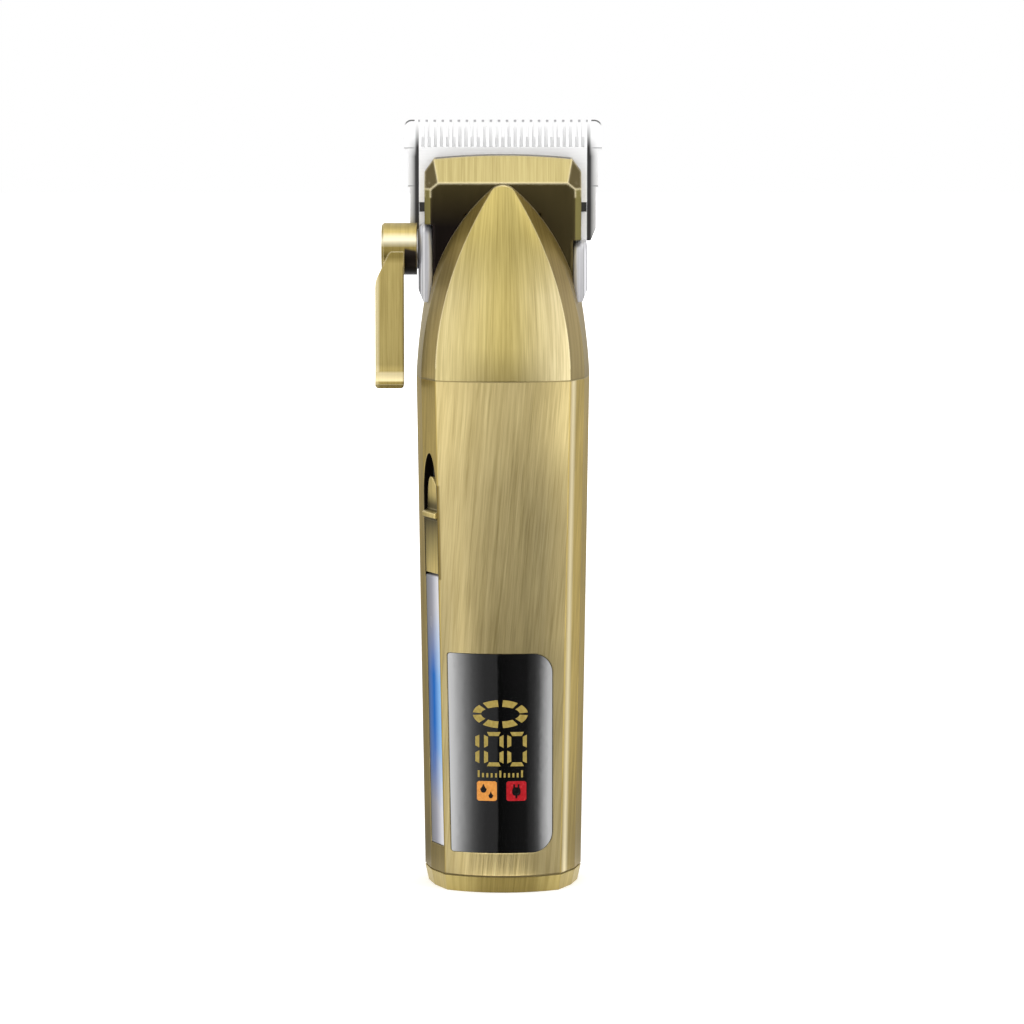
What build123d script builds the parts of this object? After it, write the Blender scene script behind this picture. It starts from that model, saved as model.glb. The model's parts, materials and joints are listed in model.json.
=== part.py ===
from build123d import *
import os
from math import cos, radians, sin
from types import SimpleNamespace

os.makedirs("parts", exist_ok=True)

# Fits between pieces
press_gap = 0.02  # shaft held fast in a bore
running_gap = 0.05  # shaft turning in a bore, blade sliding on a blade
fit_gap = 0.1  # insert in its pocket
seat_gap = 0.25  # inner piece to the shell that carries it
free_gap = 0.3  # pieces that move past each other

# Screw heads and the cross recess in them
screw_head = 1.4
cross_length = 1.3  # share of the head's radius
cross_width = 0.3
cross_depth = 0.5  # share of the head's height

# Shell
shell_wall = 2.0
edge_round = 0.8
edge_inset = 0.6  # share of the wall by which inner corners move sideways
bevel_inset = 0.3
cap_height = 3.7
cap_inset = 0.8
seal_thickness = 0.4
seal_inset = 0.4
seal_width = 1.2

# Cross-section of the lower body at its foot and at the seam under the nose
foot_front_half = 13.4
seam_front_half = 15.5
foot_front_depth = 17.6
seam_front_depth = 19.0
front_crown = 3.8
bevel_across = 3.3
bevel_back = 6.9
foot_side_draft = 1.5
seam_side_draft = 1.25
back_flare = 1.2
back_crown = 2.0
back_bevel_across = 5.2
back_bevel_depth = 7.0

# Nose above the seam
nose_height = 45.0
nose_fullness = 2.05
side_fullness = 1.5
nose_steps = 6
hollow_share = 0.7
hollow_steps = 4
back_steps = 3
ridge_depth = 10.5
tip_set_back = 0.2
tip_crown = 0.2
tip_front_half = 1.4
tip_bevel_half = 3.5
tip_side_half = 12.4
tip_bevel_depth = 8.6
back_narrowing = 0.74
back_bevel_gain = 1.07
back_tip_edge = 0.5
back_tip_depth = 1.5

# Screw bosses of the shell
boss_radius = 3.0
cover_screw_radius = 1.3
cover_head_radius = 2.4
cover_seat = 5.0
low_boss_rise = 16.2
high_boss_drop = 14.4
high_boss_inset = 4.8
cap_post_radius = 2.0
cap_post_length = 8.0
cap_hole_depth = 6.5
cap_screw_radius = 1.1
cap_screw_length = 7.0
cap_head_radius = 2.2
chassis_boss_x = 7.0
chassis_boss_share = 0.19  # of the nose's height
chassis_boss_radius = 2.6
chassis_hole_depth = 5.0
chassis_screw_radius = 1.2
chassis_screw_length = 7.0
chassis_head_radius = 2.2

# Battery and inner frame
battery_radius = 9.15
battery_length = 65.0
battery_button = 0.8
button_share = 0.3
tab_thickness = 0.3
tab_width = 5.0
tab_reach = 3.0
frame_end_wall = 1.8
frame_thickness = 2.0
rail_thickness = 1.2
cradle_front_share = 0.4
cradle_back_share = 0.9

# Boards, display module and charge port
board_thickness = 1.4
board_half = 10.0
board_back = -7.6
board_foot_rise = 1.4
board_head_rise = 2.4
board_boss_share = 0.7
board_boss_rise = 4.4
board_boss_radius = 2.2
board_hole_depth = 4.5
board_screw_radius = 1.1
board_screw_length = 5.0
board_head_radius = 1.9
display_thickness = 3.4
display_margin = 1.0
display_drop = 4.6
display_round = 1.0
port_width = 9.0
port_thickness = 3.2
port_depth = 7.4
port_wall = 0.3
port_floor = 0.8
port_set_in = 0.6
port_tongue_share = 0.72
port_tongue_thickness = 0.7
port_tongue_foot = 2.0

# Motor and drive
lead_room = 3.4
lead_radius = 0.5
lead_bend = 1.5
lead_rise = 1.2
lead_tail = 1.5
terminal_x = 4.0
terminal_length = 2.5
terminal_width = 2.8
terminal_thickness = 0.6
bell_length = 2.5
bell_inset = 0.4
bell_round = 0.8
motor_length = 31.0
motor_axis_y = -3.0
motor_round = 1.0
motor_shaft_radius = 1.0
motor_spigot_radius = 3.0
motor_spigot = 1.8
motor_bore_depth = 6.0
motor_screw_share = 0.66
motor_screw_radius = 1.3
motor_screw_length = 6.0
motor_head_radius = 2.3
motor_hole_depth = 3.2
mount_thickness = 3.0
mount_room = 2.4  # from the mount to the seam
cam_radius = 4.5
cam_length = 5.5
cam_floor = 1.0
cam_drop = 4.0
cam_throw = 1.2
cam_pin_radius = 0.9
cam_pin_drop = 0.6
cam_bearing_radius = 1.6
cam_bearing_lead = 1.5
cam_bearing_set_in = 0.5

# Fixed blade
blade_half = 22.95
blade_height = 28.0
blade_thickness = 2.5
blade_front = 6.0
blade_corner = 1.8
blade_slots = 21
blade_slot_pitch = 1.86
blade_slot_width = 0.75
blade_slot_depth = 4.0
blade_step_drop = 6.8
blade_step = 0.9
blade_heel_drop = 15.6
blade_heel = 1.35
blade_toe = 2.6
blade_toe_height = 2.9
blade_screw_x = 9.0
blade_screw_radius = 1.5
blade_screw_length = 4.8
blade_head_radius = 2.6
tooth_edge = 0.6

# Cutter and its carrier
cutter_height = 17.35
cutter_thickness = 2.45
cutter_slots = 27
cutter_slot_pitch = 1.42
cutter_slot_width = 0.8
cutter_slot_depth = 4.6
cutter_show = 6.2  # teeth standing above the head plate
cutter_pin_x = 8.0
cutter_pin_rise = 3.2
cutter_pin_radius = 1.4
tip_lead = 1.6  # fixed tips beyond the cutter tips with the lever down
stroke = 1.5  # cutter swing to either side
blade_wing = 3.5  # fixed blade showing beside the cutter
carrier_bar = 2.2
rib_thickness = 3.1
rib_rise = 2.6
fork_wall = 2.0
fork_lip = 1.0
fork_bridge = 3.8
fork_drop = 7.1  # from the lever's axis to the fork's foot

# Taper slide and its spring
slide_thickness = 2.3
slide_drop = 2.5
slide_screw_drop = 1.1
slide_screw_radius = 1.25
slide_shoulder = 1.5
slide_head_radius = 2.4
rail_shift = 0.15
rail_depth = 1.0
rail_half_length = 9.0
rail_rise = 1.0
ear_thickness = 2.7
ear_half_height = 1.9
ear_wall = 0.8
ear_lap = 0.2
spring_thickness = 0.35
spring_tail = 4.0
spring_drop = 1.0
spring_fold = 0.4
spring_end_drop = 2.0

# Head plate
plate_rise = 6.0
plate_wall = 1.3
plate_bevel_wall = 0.52
plate_ridge_wall = 1.82
plate_ridge_drop = 0.39
plate_recess_wall = 1.365
plate_arch = 0.8
plate_corner = 2.1
plate_corner_height = 2.94
plate_facet_width = 1.05
plate_facet_drop = 2.52
plate_strip_width = 1.365
plate_strip_depth = 1.26
plate_margin = 1.45  # cutter showing beside the plate
recess_foot_depth = 2.8

# Blade chassis
plate_thickness = 2.6
chassis_drop = 1.75
wall_thickness = 3.3
wall_lap = 1.8
wall_reach = 4.5  # in front of the lever's axis
wall_drop = 2.65
wall_round = 1.2
wall_top_round = 2.5
wall_toe = 1.2
wall_toe_height = 2.9
plate_lap = 1.4
tongue_rise = 2.6
tongue_margin = 1.4

# Taper lever
barrel_radius = 6.0
barrel_length = 8.15
barrel_chamfer = 0.5
barrel_floor = 3.0
lever_arm_width = 6.6
lever_arm_thickness = 3.6
lever_arm_length = 31.7
lever_arm_inset = 2.95
lever_arm_rise = 0.4
shoulder_width = 3.4
shoulder_drop = 7.1
shoulder_head = 0.3
shoulder_round = 6.0
arm_head_round = 1.0
arm_foot_round = 0.8
flare = 1.7
flare_height = 5.2
flare_edge = 0.9
flare_nose = 0.6
flare_back = 1.0
lever_swing = 60.0
lever_shaft_radius = 2.0
eccentric_throw = 1.2
eccentric_radius = 0.7
washer_thickness = 0.3
washer_radius = 4.6
clip_thickness = 0.5
clip_radius = 3.4
clip_mouth = 1.2
shaft_lead = 0.25

# Front display, light strip and switch
window_rise = 5.4
window_height = 46.4
window_right = 11.35
window_left_margin = 1.6
window_corner = 4.6
window_small_corner = 0.6
lens_thickness = 1.2
lens_ledge = 1.5
slot_share = 0.92  # of the bevel width
strip_rise = 6.2
strip_short = 2.0  # shorter than the cell beside it
strip_round = 0.45
strip_foot_drop = 1.1
strip_foot_length = 1.5
strip_foot_share = 0.65
light_board_share = 0.85
light_board_thickness = 0.8
lamp_count = 6
lamp_size = 1.6
lamp_height = 0.7
slider_length = 22.3
slider_travel = 5.5
slider_arch = 10.8
slider_overrun = 1.0
slider_sink = 0.15
lip_rise = 13.6
lip_height = 0.6
lip_toe = 1.3
lip_under = 0.5
lip_over = 0.4
lip_heel = 1.1
scoop_depth = 0.8
link_rise = 9.8
link_length = 3.0
link_half = 0.8
link_reach = 1.2
tray_thickness = 1.1
tray_foot_lap = 0.4
tray_head_lap = 1.0
block_thickness = 2.2
block_share = 0.8
block_lap = 2.2
block_pocket = 1.5

# Heights of the stack inside the body
cover_foot = cap_height + seal_thickness
frame_foot = cover_foot + seal_thickness
battery_foot = frame_foot + frame_end_wall + tab_thickness + fit_gap
battery_top = battery_foot + battery_length
frame_top = battery_top + fit_gap + tab_thickness + frame_end_wall
terminal_foot = frame_top + lead_room
bell_foot = terminal_foot + terminal_length
motor_foot = bell_foot + bell_length
motor_top = motor_foot + motor_length
mount_top = motor_top + mount_thickness
seam_height = mount_top + mount_room
window_foot = cover_foot + window_rise
strip_foot = cover_foot + strip_rise
strip_length = battery_length - strip_short

# Heights of the head
ridge_height = seam_height + nose_height
plate_top = ridge_height + plate_rise
cutter_tip = plate_top + cutter_show
blade_tip = cutter_tip + tip_lead
blade_foot = blade_tip - blade_height
back_top = blade_foot - 2 * seat_gap
cutter_foot = cutter_tip - cutter_height
carrier_foot = cutter_foot - carrier_bar
chassis_top = carrier_foot - chassis_drop
left_wall_top = carrier_foot - wall_drop
lever_height = left_wall_top - barrel_radius + free_gap
right_wall_top = lever_height + lever_shaft_radius
wall_foot = lever_height - 2 * barrel_radius
plate_foot = wall_foot + plate_lap
slide_top = carrier_foot - slide_drop
fork_foot = lever_height - fork_drop

# Depths, front is towards -Y
board_front = board_back - board_thickness
battery_y = board_back + screw_head + 2 * seat_gap + fit_gap + battery_radius
foot_back_depth = battery_y + battery_radius + free_gap + shell_wall
blade_back = blade_front + blade_thickness
cutter_back = blade_front - running_gap
cutter_front = cutter_back - cutter_thickness
chassis_front = blade_front - plate_thickness
slide_back = chassis_front - fit_gap
slide_front = slide_back - slide_thickness
carrier_front = cutter_front - rib_thickness
plate_back = cutter_front - 2 * seat_gap
recess_slope = (ridge_depth - recess_foot_depth) / (ridge_height - plate_foot)
lever_y = blade_front - barrel_radius - 2 * seat_gap
wall_front = lever_y - wall_reach
port_y = board_front - port_thickness / 2

# Half widths of the head
cutter_half = blade_half - blade_wing
plate_half = cutter_half - plate_margin
wall_inner = plate_half - wall_lap
wall_outer = wall_inner + wall_thickness
carrier_half = cutter_half - fit_gap
fork_inner = cam_throw + cam_bearing_radius + stroke + free_gap
fork_outer = fork_inner + fork_wall
shaft_end = wall_inner - running_gap - clip_thickness - shaft_lead
ear_outer = shaft_end - fit_gap - free_gap
ear_inner = ear_outer - ear_thickness
spring_half = ear_inner - 3 * free_gap
slide_screw_x = ear_inner - slide_head_radius - 5 * free_gap
tongue_half = chassis_boss_x + chassis_boss_radius + tongue_margin


def bullet(base, tip, share, fullness):
    # A size that leaves the seam straight up and closes in towards the tip
    return tip + (base - tip) * (1 - share**fullness)


def section_sizes(height):
    # Sizes of the outer cross-section at a height above the foot
    if height <= seam_height:
        share = (height - cover_foot) / (seam_height - cover_foot)
        front_half = foot_front_half + (seam_front_half - foot_front_half) * share
        front_depth = foot_front_depth + (seam_front_depth - foot_front_depth) * share
        draft = foot_side_draft + (seam_side_draft - foot_side_draft) * share
        back_depth = foot_back_depth + back_flare * share
        bevel_half = front_half + bevel_across
        edge_depth = front_depth - front_crown
        return SimpleNamespace(
            front_half=front_half,
            front_depth=front_depth,
            edge_depth=edge_depth,
            bevel_half=bevel_half,
            bevel_depth=edge_depth - bevel_back,
            side_half=bevel_half + draft,
            back_bevel_half=bevel_half,
            back_bevel_depth=back_bevel_depth,
            back_half=bevel_half - back_bevel_across,
            back_edge_depth=back_depth - back_crown,
            back_depth=back_depth,
        )
    seam = section_sizes(seam_height)
    share = (height - seam_height) / nose_height

    def close(base, tip):
        return bullet(base, tip, share, nose_fullness)

    tip_depth = ridge_depth - tip_set_back
    return SimpleNamespace(
        front_half=close(seam.front_half, tip_front_half),
        front_depth=close(seam.front_depth, tip_depth),
        edge_depth=close(seam.edge_depth, tip_depth - tip_crown),
        bevel_half=close(seam.bevel_half, tip_bevel_half),
        bevel_depth=close(seam.bevel_depth, tip_bevel_depth),
        side_half=bullet(seam.side_half, tip_side_half, share, side_fullness),
        back_bevel_half=close(seam.back_bevel_half, back_narrowing * seam.back_bevel_half),
        back_bevel_depth=close(seam.back_bevel_depth, back_bevel_gain * seam.back_bevel_depth),
        back_half=close(seam.back_half, back_narrowing * seam.back_half),
        back_edge_depth=close(seam.back_edge_depth, back_tip_edge),
        back_depth=close(seam.back_depth, back_tip_depth),
    )


def draw_half(edge, bevel, side, crown):
    # Half of a cross-section, closed along the parting plane
    with BuildLine() as outline:
        ThreePointArc((-edge[0], edge[1]), crown, edge)
        Polyline(edge, bevel, side, (-side[0], 0), (-bevel[0], bevel[1]), (-edge[0], edge[1]))
    make_face(outline.edges())


def draw_front_half(height, inset=0.0):
    size = section_sizes(height)
    draw_half(
        (size.front_half - edge_inset * inset, -(size.edge_depth - inset)),
        (size.bevel_half - inset, -(size.bevel_depth - bevel_inset * inset)),
        (size.side_half - inset, 0),
        (0, -(size.front_depth - inset)),
    )


def draw_back_half(height, inset=0.0):
    size = section_sizes(height)
    draw_half(
        (size.back_half - edge_inset * inset, size.back_edge_depth - inset),
        (size.back_bevel_half - inset, size.back_bevel_depth - bevel_inset * inset),
        (size.side_half - inset, 0),
        (0, size.back_depth - inset),
    )


def block(x, y, z, mode=Mode.ADD):
    # A block between three pairs of limits
    with Locations(((x[0] + x[1]) / 2, (y[0] + y[1]) / 2, (z[0] + z[1]) / 2)):
        Box(x[1] - x[0], y[1] - y[0], z[1] - z[0], mode=mode)


def rod(start, direction, radius, length, mode=Mode.ADD):
    # A round bar from a start point
    with Locations(Plane(origin=start, z_dir=direction)):
        Cylinder(radius, length, align=(Align.CENTER, Align.CENTER, Align.MIN), mode=mode)


def screw(seat, direction, shank_radius, shank_length, head_radius):
    # A pan-head screw with a cross recess, its head resting on the seat point
    plane = Plane(origin=seat, z_dir=direction)
    with Locations(plane):
        Cylinder(shank_radius, shank_length, align=(Align.CENTER, Align.CENTER, Align.MIN))
        Cylinder(head_radius, screw_head, align=(Align.CENTER, Align.CENTER, Align.MAX))
    with Locations(plane.offset(-screw_head)):
        for turn in (0, 90):
            Box(
                cross_length * head_radius,
                cross_width * head_radius,
                cross_depth * screw_head,
                rotation=(0, 0, turn),
                align=(Align.CENTER, Align.CENTER, Align.MIN),
                mode=Mode.SUBTRACT,
            )


def front_edges(part):
    # The two long edges between the front face and its bevels
    return part.edges().filter_by(lambda e: e.length > seam_height / 2).sort_by(Axis.Y)[:2]


# Bevel on the left of the front, where the switch and the light strip lie
foot_size = section_sizes(cover_foot)
seam_size = section_sizes(seam_height)
bevel_foot = Vector(
    -(foot_size.front_half + foot_size.bevel_half) / 2,
    -(foot_size.edge_depth + foot_size.bevel_depth) / 2,
    cover_foot,
)
bevel_seam = Vector(
    -(seam_size.front_half + seam_size.bevel_half) / 2,
    -(seam_size.edge_depth + seam_size.bevel_depth) / 2,
    seam_height,
)
bevel_side = Vector(bevel_across, -bevel_back, 0).normalized()
bevel_normal = bevel_side.cross(bevel_seam - bevel_foot).normalized()
bevel_base = bevel_foot - (bevel_seam - bevel_foot) * (cover_foot / (seam_height - cover_foot))
bevel_plane = Plane(origin=bevel_base, x_dir=bevel_side, z_dir=bevel_normal)
slot_half = slot_share * Vector(bevel_across, bevel_back, 0).length / 2
slider_half = slot_half - 1.5 * fit_gap
slider_foot = strip_foot + strip_length + 2 * free_gap
slider_top = slider_foot + slider_length
slot_top = slider_top + slider_travel
slider_under = shell_wall + fit_gap
tray_top = shell_wall + free_gap


def draw_arched_strip(half, foot, top):
    # A strip on the bevel with a half-elliptic top end
    shoulder = top - slider_arch
    with BuildLine() as outline:
        EllipticalCenterArc((0, shoulder), half, slider_arch, start_angle=0, arc_size=180)
        Polyline((-half, shoulder), (-half, foot), (half, foot), (half, shoulder))
    make_face(outline.edges())


def draw_strip(half, foot, length, mode=Mode.ADD):
    # A straight strip on the bevel
    with Locations((0, foot)):
        Rectangle(2 * half, length, align=(Align.CENTER, Align.MIN), mode=mode)


def draw_window(grow):
    # Outline of the display window, its left edge running along the bevel
    foot = window_foot - grow
    top = window_foot + window_height + grow
    foot_left = -(section_sizes(foot).front_half - window_left_margin + grow)
    top_left = -(section_sizes(top).front_half - window_left_margin + grow)
    right = window_right + grow
    big = window_corner + grow
    small = window_small_corner + max(grow, 0)
    with BuildLine() as outline:
        FilletPolyline(
            (foot_left, foot),
            (right, foot),
            (right, top),
            (top_left, top),
            radius=[small, big, big, small],
            close=True,
        )
    make_face(outline.edges())


# Display lens, following the crowned front face
with BuildPart() as lens_pocket:
    with BuildSketch(Plane.XZ):
        draw_window(fit_gap)
    extrude(amount=2 * seam_front_depth)
    for level in (cover_foot, seam_height):
        with BuildSketch(Plane.XY.offset(level)):
            draw_front_half(level, lens_thickness + running_gap)
    loft(ruled=True, mode=Mode.SUBTRACT)

with BuildPart() as display_lens:
    for level in (cover_foot, seam_height):
        with BuildSketch(Plane.XY.offset(level)):
            draw_front_half(level)
    loft(ruled=True)
    for level in (cover_foot, seam_height):
        with BuildSketch(Plane.XY.offset(level)):
            draw_front_half(level, lens_thickness)
    loft(ruled=True, mode=Mode.SUBTRACT)
    with BuildSketch(Plane.XZ):
        draw_window(0)
    extrude(amount=2 * seam_front_depth, mode=Mode.INTERSECT)
display_lens.part.label = "display_lens"
export_step(display_lens.part, "parts/display_lens.step")

# Places of the cover screws
rail_half = battery_radius + fit_gap + rail_thickness
low_boss = (rail_half + seat_gap + boss_radius, cover_foot + low_boss_rise)
high_boss_height = seam_height - high_boss_drop
high_boss = (section_sizes(high_boss_height).side_half - high_boss_inset, high_boss_height)
cover_bosses = [(side * x, z) for x, z in (low_boss, high_boss) for side in (-1, 1)]
low_boss_gap = frame_thickness / 2 + running_gap


def boss_start(z):
    # The lower bosses stop at the inner frame, the upper ones meet at the parting plane
    return low_boss_gap if z < frame_top else 0.0


# Front cover
board_boss = (board_boss_share * board_half, window_foot + window_height + board_boss_rise)
board_boss_size = section_sizes(board_boss[1])
board_boss_reach = (board_boss[0] + board_boss_radius) / board_boss_size.front_half
board_boss_end = board_boss_size.front_depth - front_crown * board_boss_reach**2 - shell_wall / 2
board_boss_length = board_boss_end + board_front

with BuildPart() as front_cover:
    for level in (cover_foot, seam_height):
        with BuildSketch(Plane.XY.offset(level)):
            draw_front_half(level)
    loft(ruled=True)
    fillet(front_edges(front_cover.part), radius=edge_round)
    for level in (cover_foot, seam_height):
        with BuildSketch(Plane.XY.offset(level)):
            draw_front_half(level, shell_wall)
    loft(ruled=True, mode=Mode.SUBTRACT)
    for x, z in cover_bosses:
        rod((x, -boss_start(z), z), (0, -1, 0), boss_radius, cover_seat - boss_start(z))
        rod((x, 0, z), (0, -1, 0), cover_screw_radius, cover_seat, mode=Mode.SUBTRACT)
    for side in (-1, 1):
        start = (side * board_boss[0], board_front, board_boss[1])
        rod(start, (0, -1, 0), board_boss_radius, board_boss_length)
        rod(start, (0, -1, 0), board_screw_radius, board_hole_depth, mode=Mode.SUBTRACT)
    add(lens_pocket.part, mode=Mode.SUBTRACT)
    with BuildSketch(Plane.XZ):
        draw_window(-lens_ledge)
    extrude(amount=2 * seam_front_depth, mode=Mode.SUBTRACT)
    with BuildSketch(bevel_plane.offset(-2 * shell_wall)):
        draw_arched_strip(slot_half, strip_foot - fit_gap, slot_top)
    extrude(amount=4 * shell_wall, mode=Mode.SUBTRACT)
front_cover.part.label = "front_cover"
export_step(front_cover.part, "parts/front_cover.step")

# Back cover, running up behind the blades
chassis_boss = (chassis_boss_x, seam_height + chassis_boss_share * nose_height)
chassis_boss_size = section_sizes(chassis_boss[1])
chassis_boss_reach = (chassis_boss[0] + chassis_boss_radius) / chassis_boss_size.back_half
chassis_boss_end = chassis_boss_size.back_depth - back_crown * chassis_boss_reach**2 - shell_wall / 2
back_rise = back_top - seam_height
back_levels = [seam_height + back_rise * step / back_steps for step in range(back_steps + 1)]

with BuildPart() as back_cover:
    for level in (cover_foot, seam_height):
        with BuildSketch(Plane.XY.offset(level)):
            draw_back_half(level)
    loft(ruled=True)
    for level in back_levels:
        with BuildSketch(Plane.XY.offset(level)):
            draw_back_half(level)
    loft()
    for level in (cover_foot, seam_height):
        with BuildSketch(Plane.XY.offset(level)):
            draw_back_half(level, shell_wall)
    loft(ruled=True, mode=Mode.SUBTRACT)
    for level in back_levels:
        with BuildSketch(Plane.XY.offset(level)):
            draw_back_half(level, shell_wall)
    loft(mode=Mode.SUBTRACT)
    for x, z in cover_bosses:
        rim = section_sizes(z)
        slope = (rim.back_edge_depth - rim.back_bevel_depth) / (rim.back_bevel_half - rim.back_half)
        outer = rim.back_bevel_depth + (rim.back_bevel_half - abs(x) - boss_radius) * slope
        hole_radius = cover_screw_radius + fit_gap
        head_radius = cover_head_radius + fit_gap
        rod((x, boss_start(z), z), (0, 1, 0), boss_radius, outer - boss_start(z))
        rod((x, 0, z), (0, 1, 0), hole_radius, cover_seat, mode=Mode.SUBTRACT)
        rod((x, cover_seat, z), (0, 1, 0), head_radius, seam_front_depth, mode=Mode.SUBTRACT)
    for side in (-1, 1):
        start = (side * chassis_boss[0], blade_front, chassis_boss[1])
        rod(start, (0, 1, 0), chassis_boss_radius, chassis_boss_end - blade_front)
        rod(start, (0, 1, 0), chassis_screw_radius, chassis_hole_depth, mode=Mode.SUBTRACT)
    block(
        (-2 * wall_outer, 2 * wall_outer),
        (-seam_front_depth, blade_front + fit_gap),
        (wall_foot - fit_gap, 2 * ridge_height),
        mode=Mode.SUBTRACT,
    )
back_cover.part.label = "back_cover"
export_step(back_cover.part, "parts/back_cover.step")

# Bottom cap and its gasket
cap_screw_x = rail_half + seat_gap + cap_post_radius
cap_seat = screw_head + fit_gap
with BuildPart() as bottom_cap:
    with BuildSketch(Plane.XY):
        draw_front_half(cover_foot, cap_inset)
        draw_back_half(cover_foot, cap_inset)
    with BuildSketch(Plane.XY.offset(cap_height)):
        draw_front_half(cover_foot)
        draw_back_half(cover_foot)
    loft(ruled=True)
    with BuildSketch(Plane.XY):
        with Locations((0, port_y)):
            SlotOverall(port_width + 3 * fit_gap, port_thickness + 3 * fit_gap)
    extrude(amount=cap_height, mode=Mode.SUBTRACT)
    for side in (-1, 1):
        foot = (side * cap_screw_x, 0, 0)
        rod(foot, (0, 0, 1), cap_screw_radius + fit_gap, cap_height, mode=Mode.SUBTRACT)
        rod(foot, (0, 0, 1), cap_head_radius + fit_gap, cap_seat, mode=Mode.SUBTRACT)
bottom_cap.part.label = "bottom_cap"
export_step(bottom_cap.part, "parts/bottom_cap.step")

with BuildPart() as cap_screws:
    for side in (-1, 1):
        seat = (side * cap_screw_x, 0, cap_seat)
        screw(seat, (0, 0, 1), cap_screw_radius, cap_screw_length, cap_head_radius)
cap_screws.part.label = "cap_screws"
export_step(cap_screws.part, "parts/cap_screws.step")

with BuildPart() as bottom_seal:
    with BuildSketch(Plane.XY.offset(cap_height)):
        draw_front_half(cover_foot, seal_inset)
        draw_back_half(cover_foot, seal_inset)
    extrude(amount=seal_thickness)
    with BuildSketch(Plane.XY.offset(cap_height)):
        draw_front_half(cover_foot, seal_inset + seal_width)
        draw_back_half(cover_foot, seal_inset + seal_width)
    extrude(amount=seal_thickness, mode=Mode.SUBTRACT)
bottom_seal.part.label = "bottom_seal"
export_step(bottom_seal.part, "parts/bottom_seal.step")


# Head plate: bevelled top, ridge and the undercut face that leans back below it
def recess_y(z):
    return -ridge_depth + (ridge_height - z) * recess_slope


bevel_top_y = -ridge_depth + plate_rise
corner_x = plate_half - plate_corner
corner_z = plate_top - plate_arch
facet_z = ridge_height - plate_facet_drop
cavity_z = corner_z - plate_wall
with BuildPart() as head_blank:
    with BuildSketch(Plane.YZ):
        with BuildLine():
            Polyline(
                (plate_back, plate_top),
                (bevel_top_y, plate_top),
                (-ridge_depth, ridge_height),
                (recess_y(plate_foot), plate_foot),
                (plate_back, plate_foot),
                close=True,
            )
        make_face()
    extrude(amount=plate_half, both=True)

with BuildPart() as head_plate:
    add(head_blank.part)
    with BuildSketch(Plane.XZ.offset(-2 * blade_front)):
        with BuildLine():
            ThreePointArc((-corner_x, corner_z), (0, plate_top), (corner_x, corner_z))
            Polyline(
                (corner_x, corner_z),
                (plate_half, corner_z - plate_corner_height),
                (plate_half, plate_foot),
                (-plate_half, plate_foot),
                (-plate_half, corner_z - plate_corner_height),
                (-corner_x, corner_z),
            )
        make_face()
    extrude(amount=4 * seam_front_depth, mode=Mode.INTERSECT)
    for side in (-1, 1):
        ridge_corner = Vector(side * (corner_x - plate_facet_width), -ridge_depth, ridge_height)
        top_corner = Vector(side * corner_x, bevel_top_y - plate_arch, corner_z)
        low_corner = Vector(side * plate_half, recess_y(facet_z), facet_z)
        facet = (top_corner - ridge_corner).cross(low_corner - ridge_corner).normalized()
        if facet.X * side < 0:
            facet = -facet
        split(bisect_by=Plane(origin=ridge_corner, z_dir=facet), keep=Keep.BOTTOM)
        strip_in = side * (plate_half - plate_strip_width)
        strip_low = Vector(strip_in, recess_y(plate_foot), plate_foot)
        strip_high = Vector(strip_in, recess_y(ridge_height), ridge_height)
        strip_out = Vector(side * plate_half, recess_y(plate_foot) + plate_strip_depth, plate_foot)
        lean = (strip_high - strip_low).cross(strip_out - strip_low).normalized()
        if lean.X * side < 0:
            lean = -lean
        split(bisect_by=Plane(origin=strip_low, z_dir=lean), keep=Keep.BOTTOM)
    for side, wall_top in ((-1, left_wall_top), (1, right_wall_top)):
        block(
            sorted((side * (wall_inner - fit_gap), side * 2 * plate_half)),
            (-2 * ridge_depth, 2 * ridge_depth),
            (0, wall_top + free_gap),
            mode=Mode.SUBTRACT,
        )
    with BuildSketch(Plane.YZ):
        with BuildLine():
            Polyline(
                (2 * blade_front, cavity_z),
                (bevel_top_y + plate_bevel_wall, cavity_z),
                (-ridge_depth + plate_ridge_wall, ridge_height - plate_ridge_drop),
                (recess_y(plate_foot) + plate_recess_wall, plate_foot),
                (2 * blade_front, plate_foot),
                close=True,
            )
        make_face()
    extrude(amount=plate_half - plate_wall, both=True, mode=Mode.SUBTRACT)
    fork_room = fork_outer + stroke + 2 * free_gap
    block(
        (-fork_room, fork_room),
        (-2 * ridge_depth, 2 * ridge_depth),
        (plate_foot, carrier_foot + free_gap),
        mode=Mode.SUBTRACT,
    )
head_plate.part.label = "head_plate"
export_step(head_plate.part, "parts/head_plate.step")

# Nose cover, cut back to the undercut face and let in around the side walls
hollow_height = hollow_share * nose_height
nose_levels = [seam_height + nose_height * step / nose_steps for step in range(nose_steps + 1)]
hollow_levels = [seam_height + hollow_height * step / hollow_steps for step in range(hollow_steps + 1)]
with BuildPart() as nose_cover:
    for level in nose_levels:
        with BuildSketch(Plane.XY.offset(level)):
            draw_front_half(level)
    loft()
    for level in hollow_levels:
        with BuildSketch(Plane.XY.offset(level)):
            draw_front_half(level, shell_wall)
    loft(mode=Mode.SUBTRACT)
    with BuildSketch(Plane.YZ):
        with BuildLine():
            Polyline(
                (-ridge_depth, ridge_height),
                (recess_y(plate_foot), plate_foot),
                (blade_front, plate_foot),
                (blade_front, ridge_height),
                close=True,
            )
        make_face()
    extrude(amount=wall_outer, both=True, mode=Mode.SUBTRACT)
    for side in (-1, 1):
        block(
            sorted((side * (wall_inner - fit_gap), side * 2 * wall_outer)),
            (wall_front - fit_gap, blade_front),
            (wall_foot - fit_gap, ridge_height),
            mode=Mode.SUBTRACT,
        )
nose_cover.part.label = "nose_cover"
export_step(nose_cover.part, "parts/nose_cover.step")

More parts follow.
